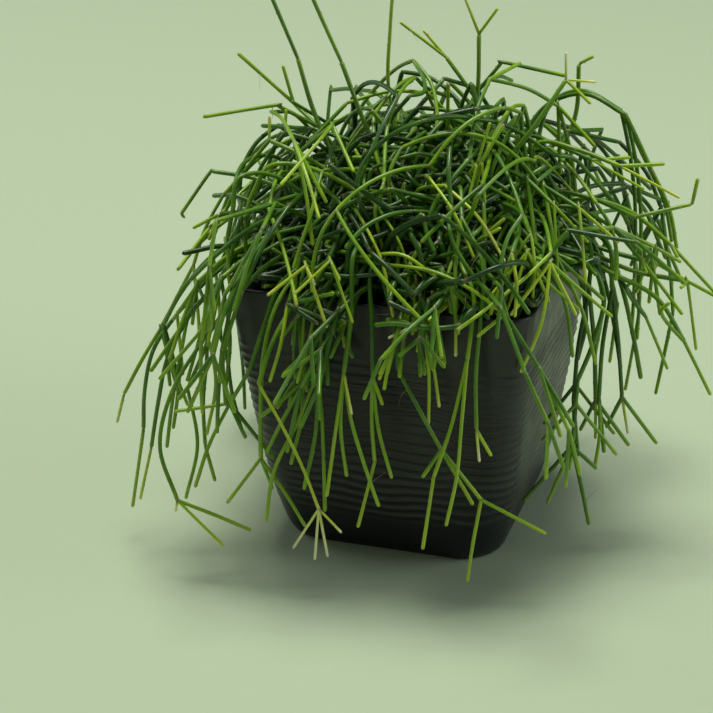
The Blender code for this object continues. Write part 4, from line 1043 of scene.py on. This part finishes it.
def marks_along(length, radius):
    """Where a stem's rings lie: evenly, with three close together for its round tip."""
    count = max(3, round((length - radius) / FINE_STEP))
    even = np.linspace(0, length - radius, count + 1)
    tip = length - radius * TIP_RINGS
    return np.concatenate([even, tip])


def fine_stem(rng, points, radius, age, start):
    """One stem's rings, and each ring's youth, scar and bud.

    Ring i, point k is C(i) + R(i) (cos k N(i) + sin k B(i)), where C is the smooth curve through
    the stem's points, N lies in its best-fitting plane and B across it. R is less in younger stems,
    narrows at the neck where the stem joins its parent, swells a little by slow waves, and closes
    as a half ball.
    """
    if start is not None:
        points = np.vstack([start, points])
    curve = smooth_route(points, CURVE_STEP) if len(points) > 2 else np.linspace(*points, 12)
    along = np.concatenate([[0], np.cumsum(np.linalg.norm(np.diff(curve, axis=0), axis=1))])
    length = along[-1]
    marks = marks_along(length, radius)
    centre = np.stack([np.interp(marks, along, curve[:, k]) for k in range(3)], axis=1)
    way = np.gradient(centre, marks, axis=0)
    way /= np.linalg.norm(way, axis=1)[:, None]
    flat = np.linalg.svd(centre - centre.mean(axis=0))[2][-1]
    side = np.cross(way, flat)
    side /= np.maximum(np.linalg.norm(side, axis=1), 1e-9)[:, None]
    up = np.cross(way, side)
    left = length - marks
    neck = NECK_WIDTH + (1 - NECK_WIDTH) * np.clip(marks / NECK, 0, 1) ** NECK_CURVE
    wave = 1 + SWELL * np.sin(marks / SWELL_LENGTH + rng.uniform(0, 6))
    end = np.sqrt(np.clip(1 - (1 - np.minimum(left / radius, 1)) ** 2, TIP_SHARE**2, 1))
    slim = min(1, max(SLIM, 1 - SLIMMING * (age - 0.02)))
    width = radius * slim * neck * wave * end
    turns = 2 * math.pi * np.arange(FINE_SIDES) / FINE_SIDES
    round_way = np.cos(turns)[None, :, None] * side[:, None] + np.sin(turns)[None, :, None] * up[:, None]
    rings = centre[:, None] + width[:, None, None] * round_way
    near_tip = np.clip(1 - left / FRESH_TIP, 0, 1)
    youth = YOUTH_SHARE * age + rng.uniform(*YOUTH_SPREAD) + YOUTH_ALONG * (marks / length)
    youth += YOUTH_AT_TIP * near_tip * min(1, 2 * age)
    scar = np.clip(1 - np.abs(marks - 1.6 * SUNK) / SCAR_LENGTH, 0, 1) * (start is not None)
    bud = np.clip(1 - left / BUD_LENGTH, 0, 1) * (rng.random() < BUD_SHARE)
    return rings, np.clip(youth, 0, 1.1), scar, bud


def spots_on(rng, rings, count):
    """Places on a stem's skin for its areoles, and the way out of the skin at each."""
    rows = rng.integers(2, max(3, len(rings) - 3), count)
    points = rings[rows, rng.integers(0, FINE_SIDES, count)]
    out = points - rings[rows].mean(axis=1)
    return np.stack([points, out / np.linalg.norm(out, axis=1)[:, None]], axis=1)


def band_faces(rows, around, first=0):
    """Quads of a closed band of rows of points, and a face at its first and its last row."""
    ring = np.arange(around)
    after = (ring + 1) % around
    low = first + around * np.arange(rows - 1)[:, None]
    quads = np.stack([low + ring, low + after, low + around + after, low + around + ring], axis=2)
    last = first + around * (rows - 1)
    return quads.reshape(-1, 4).tolist() + [(first + ring[::-1]).tolist(), (last + ring).tolist()]


def add_object(name, data):
    """An object in the scene, at the origin."""
    made = bpy.data.objects.new(name, data)
    bpy.context.scene.collection.objects.link(made)
    return made


def add_mesh(name, verts, faces, material, values=None):
    """A mesh piece that rides with the pot, with its own numbers for its points."""
    mesh = bpy.data.meshes.new(name)
    mesh.from_pydata(verts.tolist(), [], faces)
    for title, numbers in (values or {}).items():
        mesh.attributes.new(title, "FLOAT", "POINT").data.foreach_set("value", numbers.astype(np.float32))
    mesh.shade_smooth()
    mesh.materials.append(material)
    made = add_object(name, mesh)
    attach(made, "root")
    return made


AREOLE_EVERY = 13 * MM
AREOLE_SIZE = 0.34 * MM
AREOLE_SPREAD = (0.7, 1.3)


def make_areoles(rng, skin_spots, material):
    """The pale dots on the stems: octahedra half sunk in the skin."""
    base = np.array([(1, 0, 0), (-1, 0, 0), (0, 1, 0), (0, -1, 0), (0, 0, 1), (0, 0, -1)], float)
    sides = [(0, 2, 4), (2, 1, 4), (1, 3, 4), (3, 0, 4), (2, 0, 5), (1, 2, 5), (3, 1, 5), (0, 3, 5)]
    size = AREOLE_SIZE * rng.uniform(*AREOLE_SPREAD, (len(skin_spots), 1, 1))
    verts = (skin_spots[:, None, 0] + size * base).reshape(-1, 3)
    first = 6 * np.arange(len(skin_spots))[:, None, None]
    faces = (first + np.array(sides)).reshape(-1, 3).tolist()
    add_mesh("areoles", verts, faces, material)


AERIAL_ROOTS = 110
HAIR_RADIUS = 0.17 * MM
HAIR_LENGTH = (3, 12)
HAIR_BEND = 0.45
HAIR_DROOP = 0.35
HAIR_RINGS = 7
HAIR_SIDES = 3


def make_aerial_roots(rng, skin_spots, material):
    """Thin pale roots that stand out of the stems: three-sided, tapered, bent aside and down.

    Row i of a root is P + L t out + L t^2 bend, with t from 0 to 1, and its radius fades with t.
    """
    chosen = skin_spots[rng.permutation(len(skin_spots))[:AERIAL_ROOTS]]
    count = len(chosen)
    length = rng.uniform(*HAIR_LENGTH, (count, 1, 1)) * MM
    bend = HAIR_BEND * rng.normal(0, 1, (count, 1, 3)) - (0, 0, HAIR_DROOP)
    t = np.linspace(0, 1, HAIR_RINGS)[None, :, None]
    centre = chosen[:, None, 0] + length * (t * chosen[:, None, 1] + t**2 * bend)
    across = np.cross(chosen[:, 1], (0.31, 0.52, 0.8))
    across /= np.linalg.norm(across, axis=1)[:, None]
    other = np.cross(chosen[:, 1], across)
    turns = 2 * math.pi * np.arange(HAIR_SIDES) / HAIR_SIDES
    ring = np.cos(turns)[:, None] * across[:, None] + np.sin(turns)[:, None] * other[:, None]
    verts = centre[:, :, None] + HAIR_RADIUS * (1.15 - t[..., None]) * ring[:, None]
    faces = []
    for root in range(count):
        faces += band_faces(HAIR_RINGS, HAIR_SIDES, HAIR_RINGS * HAIR_SIDES * root)
    add_mesh("aerial_roots", verts.reshape(-1, 3), faces, material)


def fine_spray(rng, name, stems, material, skin_spots):
    """A spray's fine surface: its stems' tubes, each sunk in the end of the one that it grows from."""
    verts, faces, marks = [], [], []
    count = 0
    for parent, points, radius, age in stems:
        start = None
        if parent is not None:
            back = stems[parent][1]
            way = back[-1] - back[-2]
            start = points[0] - SUNK * way / np.linalg.norm(way)
        # Painted light: the arms of sprays in front get a younger, paler colour for the light on the front.
        painted_front_light = FRONT_PAINTED_LIGHT if "front" in name and parent is not None else 0
        if "hook" in name:
            age = min(age, HOOK_AGE)
        rings, *looks = fine_stem(rng, points, radius, min(1, age + painted_front_light), start)
        verts.append(rings.reshape(-1, 3))
        faces += band_faces(len(rings), FINE_SIDES, count)
        length = FINE_STEP * len(rings)
        skin_spots.append(spots_on(rng, rings, int(length / AREOLE_EVERY)))
        count += len(rings) * FINE_SIDES
        marks.append(np.repeat(looks, FINE_SIDES, axis=1))
    values = dict(zip(("youth", "scar", "bud"), np.concatenate(marks, axis=1)))
    made = add_mesh(name, np.concatenate(verts), faces, material, values)
    return made


# Materials

# Colours by age, by streak and by depth of crumb: stops from 0 to 1.
GREENS = [
    (0.0, (0.006, 0.032, 0.003)),
    (0.16, (0.019, 0.076, 0.004)),
    (0.34, (0.080, 0.220, 0.008)),
    (0.56, (0.270, 0.480, 0.015)),
    (0.80, (0.480, 0.640, 0.030)),
    (0.93, (0.720, 0.780, 0.130)),
    (1.0, (0.900, 0.900, 0.440)),
]
ANTHRACITE = [(0.3, (0.006, 0.006, 0.009)), (0.7, (0.011, 0.011, 0.016))]
PEAT = [(0.3, (0.009, 0.005, 0.004)), (0.55, (0.034, 0.014, 0.010)), (0.75, (0.085, 0.034, 0.022))]


class Maker:
    """A material's node tree, with short calls for its nodes."""

    def __init__(self, name):
        self.material = bpy.data.materials.new(name)
        self.material.use_nodes = True
        self.tree = self.material.node_tree
        self.shader = self.tree.nodes["Principled BSDF"]
        self.place = self.node("TexCoord").outputs["Object"]

    def node(self, kind, **values):
        """A new node, with these values at its inputs."""
        node = self.tree.nodes.new(f"ShaderNode{kind}")
        for title, value in values.items():
            node.inputs[title].default_value = value
        return node

    def link(self, source, target):
        self.tree.links.new(source, target)

    def number(self, title):
        """A piece's own number of that name."""
        node = self.node("Attribute")
        node.attribute_name = title
        return node.outputs["Fac"]

    def noise(self, scale, detail, stretch=None):
        node = self.node("TexNoise", Scale=scale, Detail=detail)
        place = self.place
        if stretch:
            turn = self.node("Mapping", Scale=stretch)
            self.link(place, turn.inputs["Vector"])
            place = turn.outputs["Vector"]
        self.link(place, node.inputs["Vector"])
        return node.outputs["Fac"]

    def sum(self, one, two, share, shift):
        """one + share * two + shift"""
        node = self.node("Math")
        node.operation = "MULTIPLY_ADD"
        self.link(two, node.inputs[0])
        node.inputs[1].default_value = share
        self.link(one, node.inputs[2])
        last = self.node("Math")
        self.link(node.outputs[0], last.inputs[0])
        last.inputs[1].default_value = shift
        return last.outputs[0]

    def ramp(self, source, stops):
        node = self.node("ValToRGB")
        line = node.color_ramp
        while len(line.elements) < len(stops):
            line.elements.new(0.5)
        for element, (place, colour) in zip(line.elements, stops):
            element.position = place
            element.color = (*colour, 1)
        self.link(source, node.inputs["Fac"])
        return node.outputs["Color"]

    def mix(self, share, one, two):
        """A colour between two others, each a plain one or a node's."""
        node = self.node("Mix")
        node.data_type = "RGBA"
        self.link(share, node.inputs["Factor"])
        for source, target in ((one, node.inputs[6]), (two, node.inputs[7])):
            if isinstance(source, tuple):
                target.default_value = (*source, 1)
            else:
                self.link(source, target)
        return node.outputs[2]

    def coat(self, colour, rough, bumps):
        """Colour, roughness (one number, or a noise's scale, detail, least and most) and fine bumps."""
        self.link(colour, self.shader.inputs["Base Color"])
        if isinstance(rough, tuple):
            scale, detail, least, most = rough
            stops = [(0.3, (least,) * 3), (0.7, (most,) * 3)]
            self.link(self.ramp(self.noise(scale, detail), stops), self.shader.inputs["Roughness"])
        else:
            self.shader.inputs["Roughness"].default_value = rough
        if bumps:
            scale, detail, strength, distance = bumps
            bump = self.node("Bump", Strength=strength, Distance=distance)
            self.link(self.noise(scale, detail), bump.inputs["Height"])
            self.link(bump.outputs["Normal"], self.shader.inputs["Normal"])
        return self.material


def stem_skin():
    """Waxy green skin: dark in old stems, yellow-green and then cream in young ones."""
    maker = Maker("stem_skin")
    youth = maker.sum(maker.number("youth"), maker.noise(60, 3), 0.3, -0.15)
    colour = maker.ramp(youth, GREENS)
    colour = maker.mix(maker.number("scar"), colour, (0.20, 0.21, 0.10))
    colour = maker.mix(maker.number("bud"), colour, (0.42, 0.26, 0.13))
    return maker.coat(colour, (260, 3, 0.27, 0.43), (900, 3, 0.25, 0.15 * MM))


def plain_skin(name, colour, roughness):
    """A dull skin with a little mottling, for the small pale parts."""
    maker = Maker(name)
    dark = tuple(0.6 * part for part in colour)
    return maker.coat(maker.mix(maker.noise(300, 2), dark, colour), roughness, None)


def pot_skin():
    """Anthracite plastic with a satin face, finely streaked, with painted shade that darkens its grooves and
    plain parts.
    """
    maker = Maker("anthracite_satin")
    streaks = maker.ramp(maker.noise(30, 5, (1, 1, 6)), ANTHRACITE)
    # Painted shade: the pot's colour goes towards near black by this share. The share is most in the grooves
    # between the ribs and on the plain bands, rim and inner side, and none on the tallest rib crests.
    colour = maker.mix(maker.number("painted_groove_shade"), streaks, (0.003, 0.003, 0.004))
    return maker.coat(colour, (120, 4, 0.34, 0.46), (700, 3, 0.12, 0.1 * MM))


def peat_skin():
    """Dark red-brown peat with paler fibres."""
    maker = Maker("peat_crumb")
    return maker.coat(maker.ramp(maker.noise(160, 6), PEAT), 0.92, (500, 6, 0.9, 1.0 * MM))


# Pot and soil

FINE_CORNER = 9
FINE_SIDE = 24
ROWS_A_RIB = 9
# The share of painted shade where the pot's side stands out least. It falls as the side stands out, and is
# gone at the tallest rib crests.
GROOVE_SHADE_LEVEL = 0.6
RIBS_TOP = RIBS_LOW + RIB_COUNT * RIB_PITCH
# Slow waves that lift the ribs: height, times round the pot, radians per metre up, and shift.
RIB_WAVES = ((1.3 * MM, 3, 55, 0), (0.9 * MM, 7, -90, 1), (0.5 * MM, 13, 130, 0))
# The rounded rim, from outside to inside: how far below the top and how far in.
RIM_DOWN = np.array([0.5, 0.1, 0, 0, 0.1, 0.5, 1.2]) * MM
RIM_IN = np.array([0.1, 0.45, 0.8, 1.6, 1.95, 2.3, 2.4]) * MM
FOOT_RISE = [0, 0.4 * MM, 1.5 * MM]
FOOT_IN = np.array([1.6, 0.6, 0]) * MM
CRUMB_SIZES = (16, 11, 7, 4.5, 3, 2.2)
CRUMB_SEED = 5
CRUMB_FLATNESS = 60
WAVES_A_SIZE = 4
CRUMB_SINK = 1 * MM


def fine_outline(half, corner):
    """Rows of points round squares with round corners, one row for each half width.

    A quarter has an arc at its corner and then an even straight run.
    """
    half, corner = half[:, None], corner[:, None]
    rows = []
    for quarter in range(4):
        turn = math.pi / 2 * quarter
        c, s = math.cos(turn), math.sin(turn)
        arc = np.linspace(0, math.pi / 2, FINE_CORNER)
        x = half - corner + corner * np.cos(arc)
        y = half - corner + corner * np.sin(arc)
        run = np.linspace(0, 1, FINE_SIDE + 2)[1:-1]
        x = np.concatenate([x, (half - corner) * (1 - 2 * run)], axis=1)
        y = np.concatenate([y, half + 0 * run], axis=1)
        rows.append(np.stack([c * x - s * y, s * x + c * y], axis=2))
    return np.concatenate(rows, axis=1)


def rib_height(z, share):
    """How far the side stands out at a height and a share of the way round, from 0 to 1.

    The ribs are rounded ridges one pitch apart. Slow waves round the pot lift and lower them, and
    their depth swells and fades, as in wind ripples.
    """
    way = 2 * math.pi * share
    lift = sum(high * np.sin(times * way + rise * z + shift) for high, times, rise, shift in RIB_WAVES)
    phase = (z + lift - RIBS_LOW) / RIB_PITCH
    ridge = np.abs(np.cos(math.pi * phase)) ** 0.8
    depth = 0.75 + 0.25 * np.sin(5 * way + 160 * z) * np.sin(2 * way - 45 * z)
    edge = np.clip((z - RIBS_LOW) / RIB_PITCH, 0, 1) * np.clip((RIBS_TOP - z) / RIB_PITCH, 0, 1)
    return (1 - ridge) * depth * edge


def make_pot(material):
    """The fine pot: its outer side with the ribs, the rounded rim and the plain inner side."""
    outer = np.concatenate([
        FOOT_RISE,
        np.linspace(4 * MM, RIBS_LOW, 6)[:-1],
        np.linspace(RIBS_LOW, RIBS_TOP, ROWS_A_RIB * RIB_COUNT),
        np.linspace(RIBS_TOP, POT_HEIGHT - RIM_DOWN[-1], 10)[1:],
    ])
    z = np.concatenate([outer, POT_HEIGHT - RIM_DOWN, np.linspace(POT_HEIGHT - 6 * MM, FLOOR, 12)])
    out = np.zeros(len(z))
    out[:len(FOOT_IN)] = -FOOT_IN
    rim = len(outer)
    out[rim:rim + len(RIM_IN)] = -RIM_IN
    out[rim + len(RIM_IN):] = -WALL
    plan = fine_outline(half_width(z) + out, corner_radius(z) + out)
    around = plan.shape[1]
    share = (np.arange(around) / around)[None]
    height = np.repeat(z[:, None], around, axis=1)
    rib = np.where(np.arange(len(z))[:, None] < rim, rib_height(height, share), 0)
    flat = plan + RIB_DEPTH * rib[..., None] * plan / np.linalg.norm(plan, axis=2, keepdims=True)
    verts = np.concatenate([flat, height[..., None]], axis=2).reshape(-1, 3)
    # Painted shade: this share darkens the pot's colour in the grooves between the ribs and on the parts
    # without ribs, and leaves the rib crests lighter.
    painted_groove_shade = (GROOVE_SHADE_LEVEL - rib).clip(0, 1).ravel()
    made = add_mesh("pot_fine", verts, band_faces(len(z), around), material, {"painted_groove_shade": painted_groove_shade})
    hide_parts("pot")


def crumbs(x, y):
    """Height of the soil's lumps: the sum of crossed waves of many lengths."""
    rng = np.random.default_rng(CRUMB_SEED)
    total = 0 * x
    for size in CRUMB_SIZES:
        for _ in range(WAVES_A_SIZE):
            turn, shift = rng.uniform(0, 6.3, 2)
            along = x * math.cos(turn) + y * math.sin(turn)
            total += size / CRUMB_FLATNESS * MM * np.sin(along * 6.3 / (size * MM) + shift)
    return total


def make_soil(material):
    """The soil's crumbly top, out to the wall, with a plain side and underside."""
    shares = np.concatenate([np.linspace(0.02, 0.99, 70), [1.0]])
    depth = np.array([SOIL_EDGE - 2 * MM, 0.5 * POT_HEIGHT, FLOOR + 2 * GAP])
    edge = fine_outline(half_width(depth) - WALL - 2 * GAP, corner_radius(depth) - WALL)
    top = edge[0][None] * shares[:, None, None]
    x, y = top[..., 0], top[..., 1]
    rise = soil_top(x, y) + crumbs(x, y) - CRUMB_SINK
    upper = np.concatenate([top, rise[..., None]], axis=2)
    lower = np.concatenate([edge, np.broadcast_to(depth[:, None, None], (*edge.shape[:2], 1))], axis=2)
    verts = np.concatenate([lower[::-1], upper[::-1]]).reshape(-1, 3)
    made = add_mesh("soil_fine", verts, band_faces(len(lower) + len(upper), edge.shape[1]), material)
    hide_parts("soil")


# Studio

PICTURE_SIDE = 713
SENSOR_WIDTH = 36
FLOOR_REACH = 6
FLOOR_COLOUR = (0.47, 0.58, 0.38, 1)
SKY_STRENGTH = 0.055
# Soft lights: name, place in metres, size, watts and colour.
LIGHTS = (
    ("key", (-0.18, 0.36, 2.65), 0.95, 62, (1.0, 0.985, 0.945)),
    ("side", (1.7, 0.35, 0.7), 0.9, 10, (0.86, 0.92, 1.0)),
    ("left", (-1.7, 0.5, 0.7), 0.9, 6, (0.9, 0.95, 1.0)),
    ("front", (-0.5, -1.9, 1.2), 1.2, 2.5, (1.0, 1.0, 1.0)),
)


def make_floor():
    """The plain pale floor."""
    mesh = bpy.data.meshes.new("floor")
    corners = [(x * FLOOR_REACH, y * FLOOR_REACH, 0) for x, y in ((-1, -1), (1, -1), (1, 1), (-1, 1))]
    mesh.from_pydata(corners, [], [(0, 1, 2, 3)])
    paint = Maker("pale_floor")
    paint.shader.inputs["Base Color"].default_value = FLOOR_COLOUR
    paint.shader.inputs["Roughness"].default_value = 0.8
    mesh.materials.append(paint.material)
    add_object("floor", mesh)


def make_lights():
    """The soft lights, which all face the pot's foot, and a dim pale sky."""
    for title, place, size, power, colour in LIGHTS:
        light = bpy.data.lights.new(title, "AREA")
        light.size, light.energy, light.color = size, power, colour
        lamp = add_object(title, light)
        lamp.location = place
        lamp.rotation_euler = (Vector((0, 0, 0.1)) - Vector(place)).to_track_quat("-Z", "Y").to_euler()
    world = bpy.data.worlds.new("studio")
    world.use_nodes = True
    sky = world.node_tree.nodes["Background"].inputs
    sky["Color"].default_value = (0.97, 1.0, 1.0, 1)
    sky["Strength"].default_value = SKY_STRENGTH
    bpy.context.scene.world = world


def make_camera():
    """The camera, where the photograph was taken."""
    lens = bpy.data.cameras.new("view")
    lens.sensor_width = SENSOR_WIDTH
    lens.lens = SENSOR_WIDTH * EYE_PIXELS / PICTURE_SIDE
    lens.shift_x = (PICTURE_SIDE / 2 - AIM_PIXEL[0]) / PICTURE_SIDE
    lens.shift_y = (AIM_PIXEL[1] - PICTURE_SIDE / 2) / PICTURE_SIDE
    camera = add_object("view", lens)
    camera.location = EYE_AIM + EYE_DISTANCE * EYE_BACK
    camera.rotation_euler = (math.pi / 2 - EYE_LIFT, 0, EYE_TURN)
    bpy.context.scene.camera = camera
    bpy.context.scene.view_settings.view_transform = "Standard"


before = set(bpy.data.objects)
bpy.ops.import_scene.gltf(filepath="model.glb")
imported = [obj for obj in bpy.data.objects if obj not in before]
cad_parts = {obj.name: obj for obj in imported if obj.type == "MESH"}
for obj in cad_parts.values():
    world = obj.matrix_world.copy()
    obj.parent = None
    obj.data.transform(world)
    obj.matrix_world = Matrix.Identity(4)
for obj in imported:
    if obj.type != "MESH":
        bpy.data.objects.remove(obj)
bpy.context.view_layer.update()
make_floor()
make_lights()
make_camera()
sprays = plan_sprays()
more = settle_more(sprays, grown_more(sprays))
skin_green = stem_skin()
rng = np.random.default_rng(SKIN_SEED)
skin_spots = []
for name, stems in sprays.items():
    fine = fine_spray(rng, f"fine_{name}", stems, skin_green, skin_spots)
    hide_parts(f"spray_{name}")
for name, stems in more.items():
    fine_spray(rng, name, stems, skin_green, skin_spots)
skin_spots = np.concatenate(skin_spots)
make_areoles(rng, skin_spots, plain_skin("areole_felt", (0.42, 0.40, 0.26), 0.8))
make_aerial_roots(rng, skin_spots, plain_skin("aerial_root", (0.50, 0.36, 0.26), 0.6))
make_pot(pot_skin())
make_soil(peat_skin())
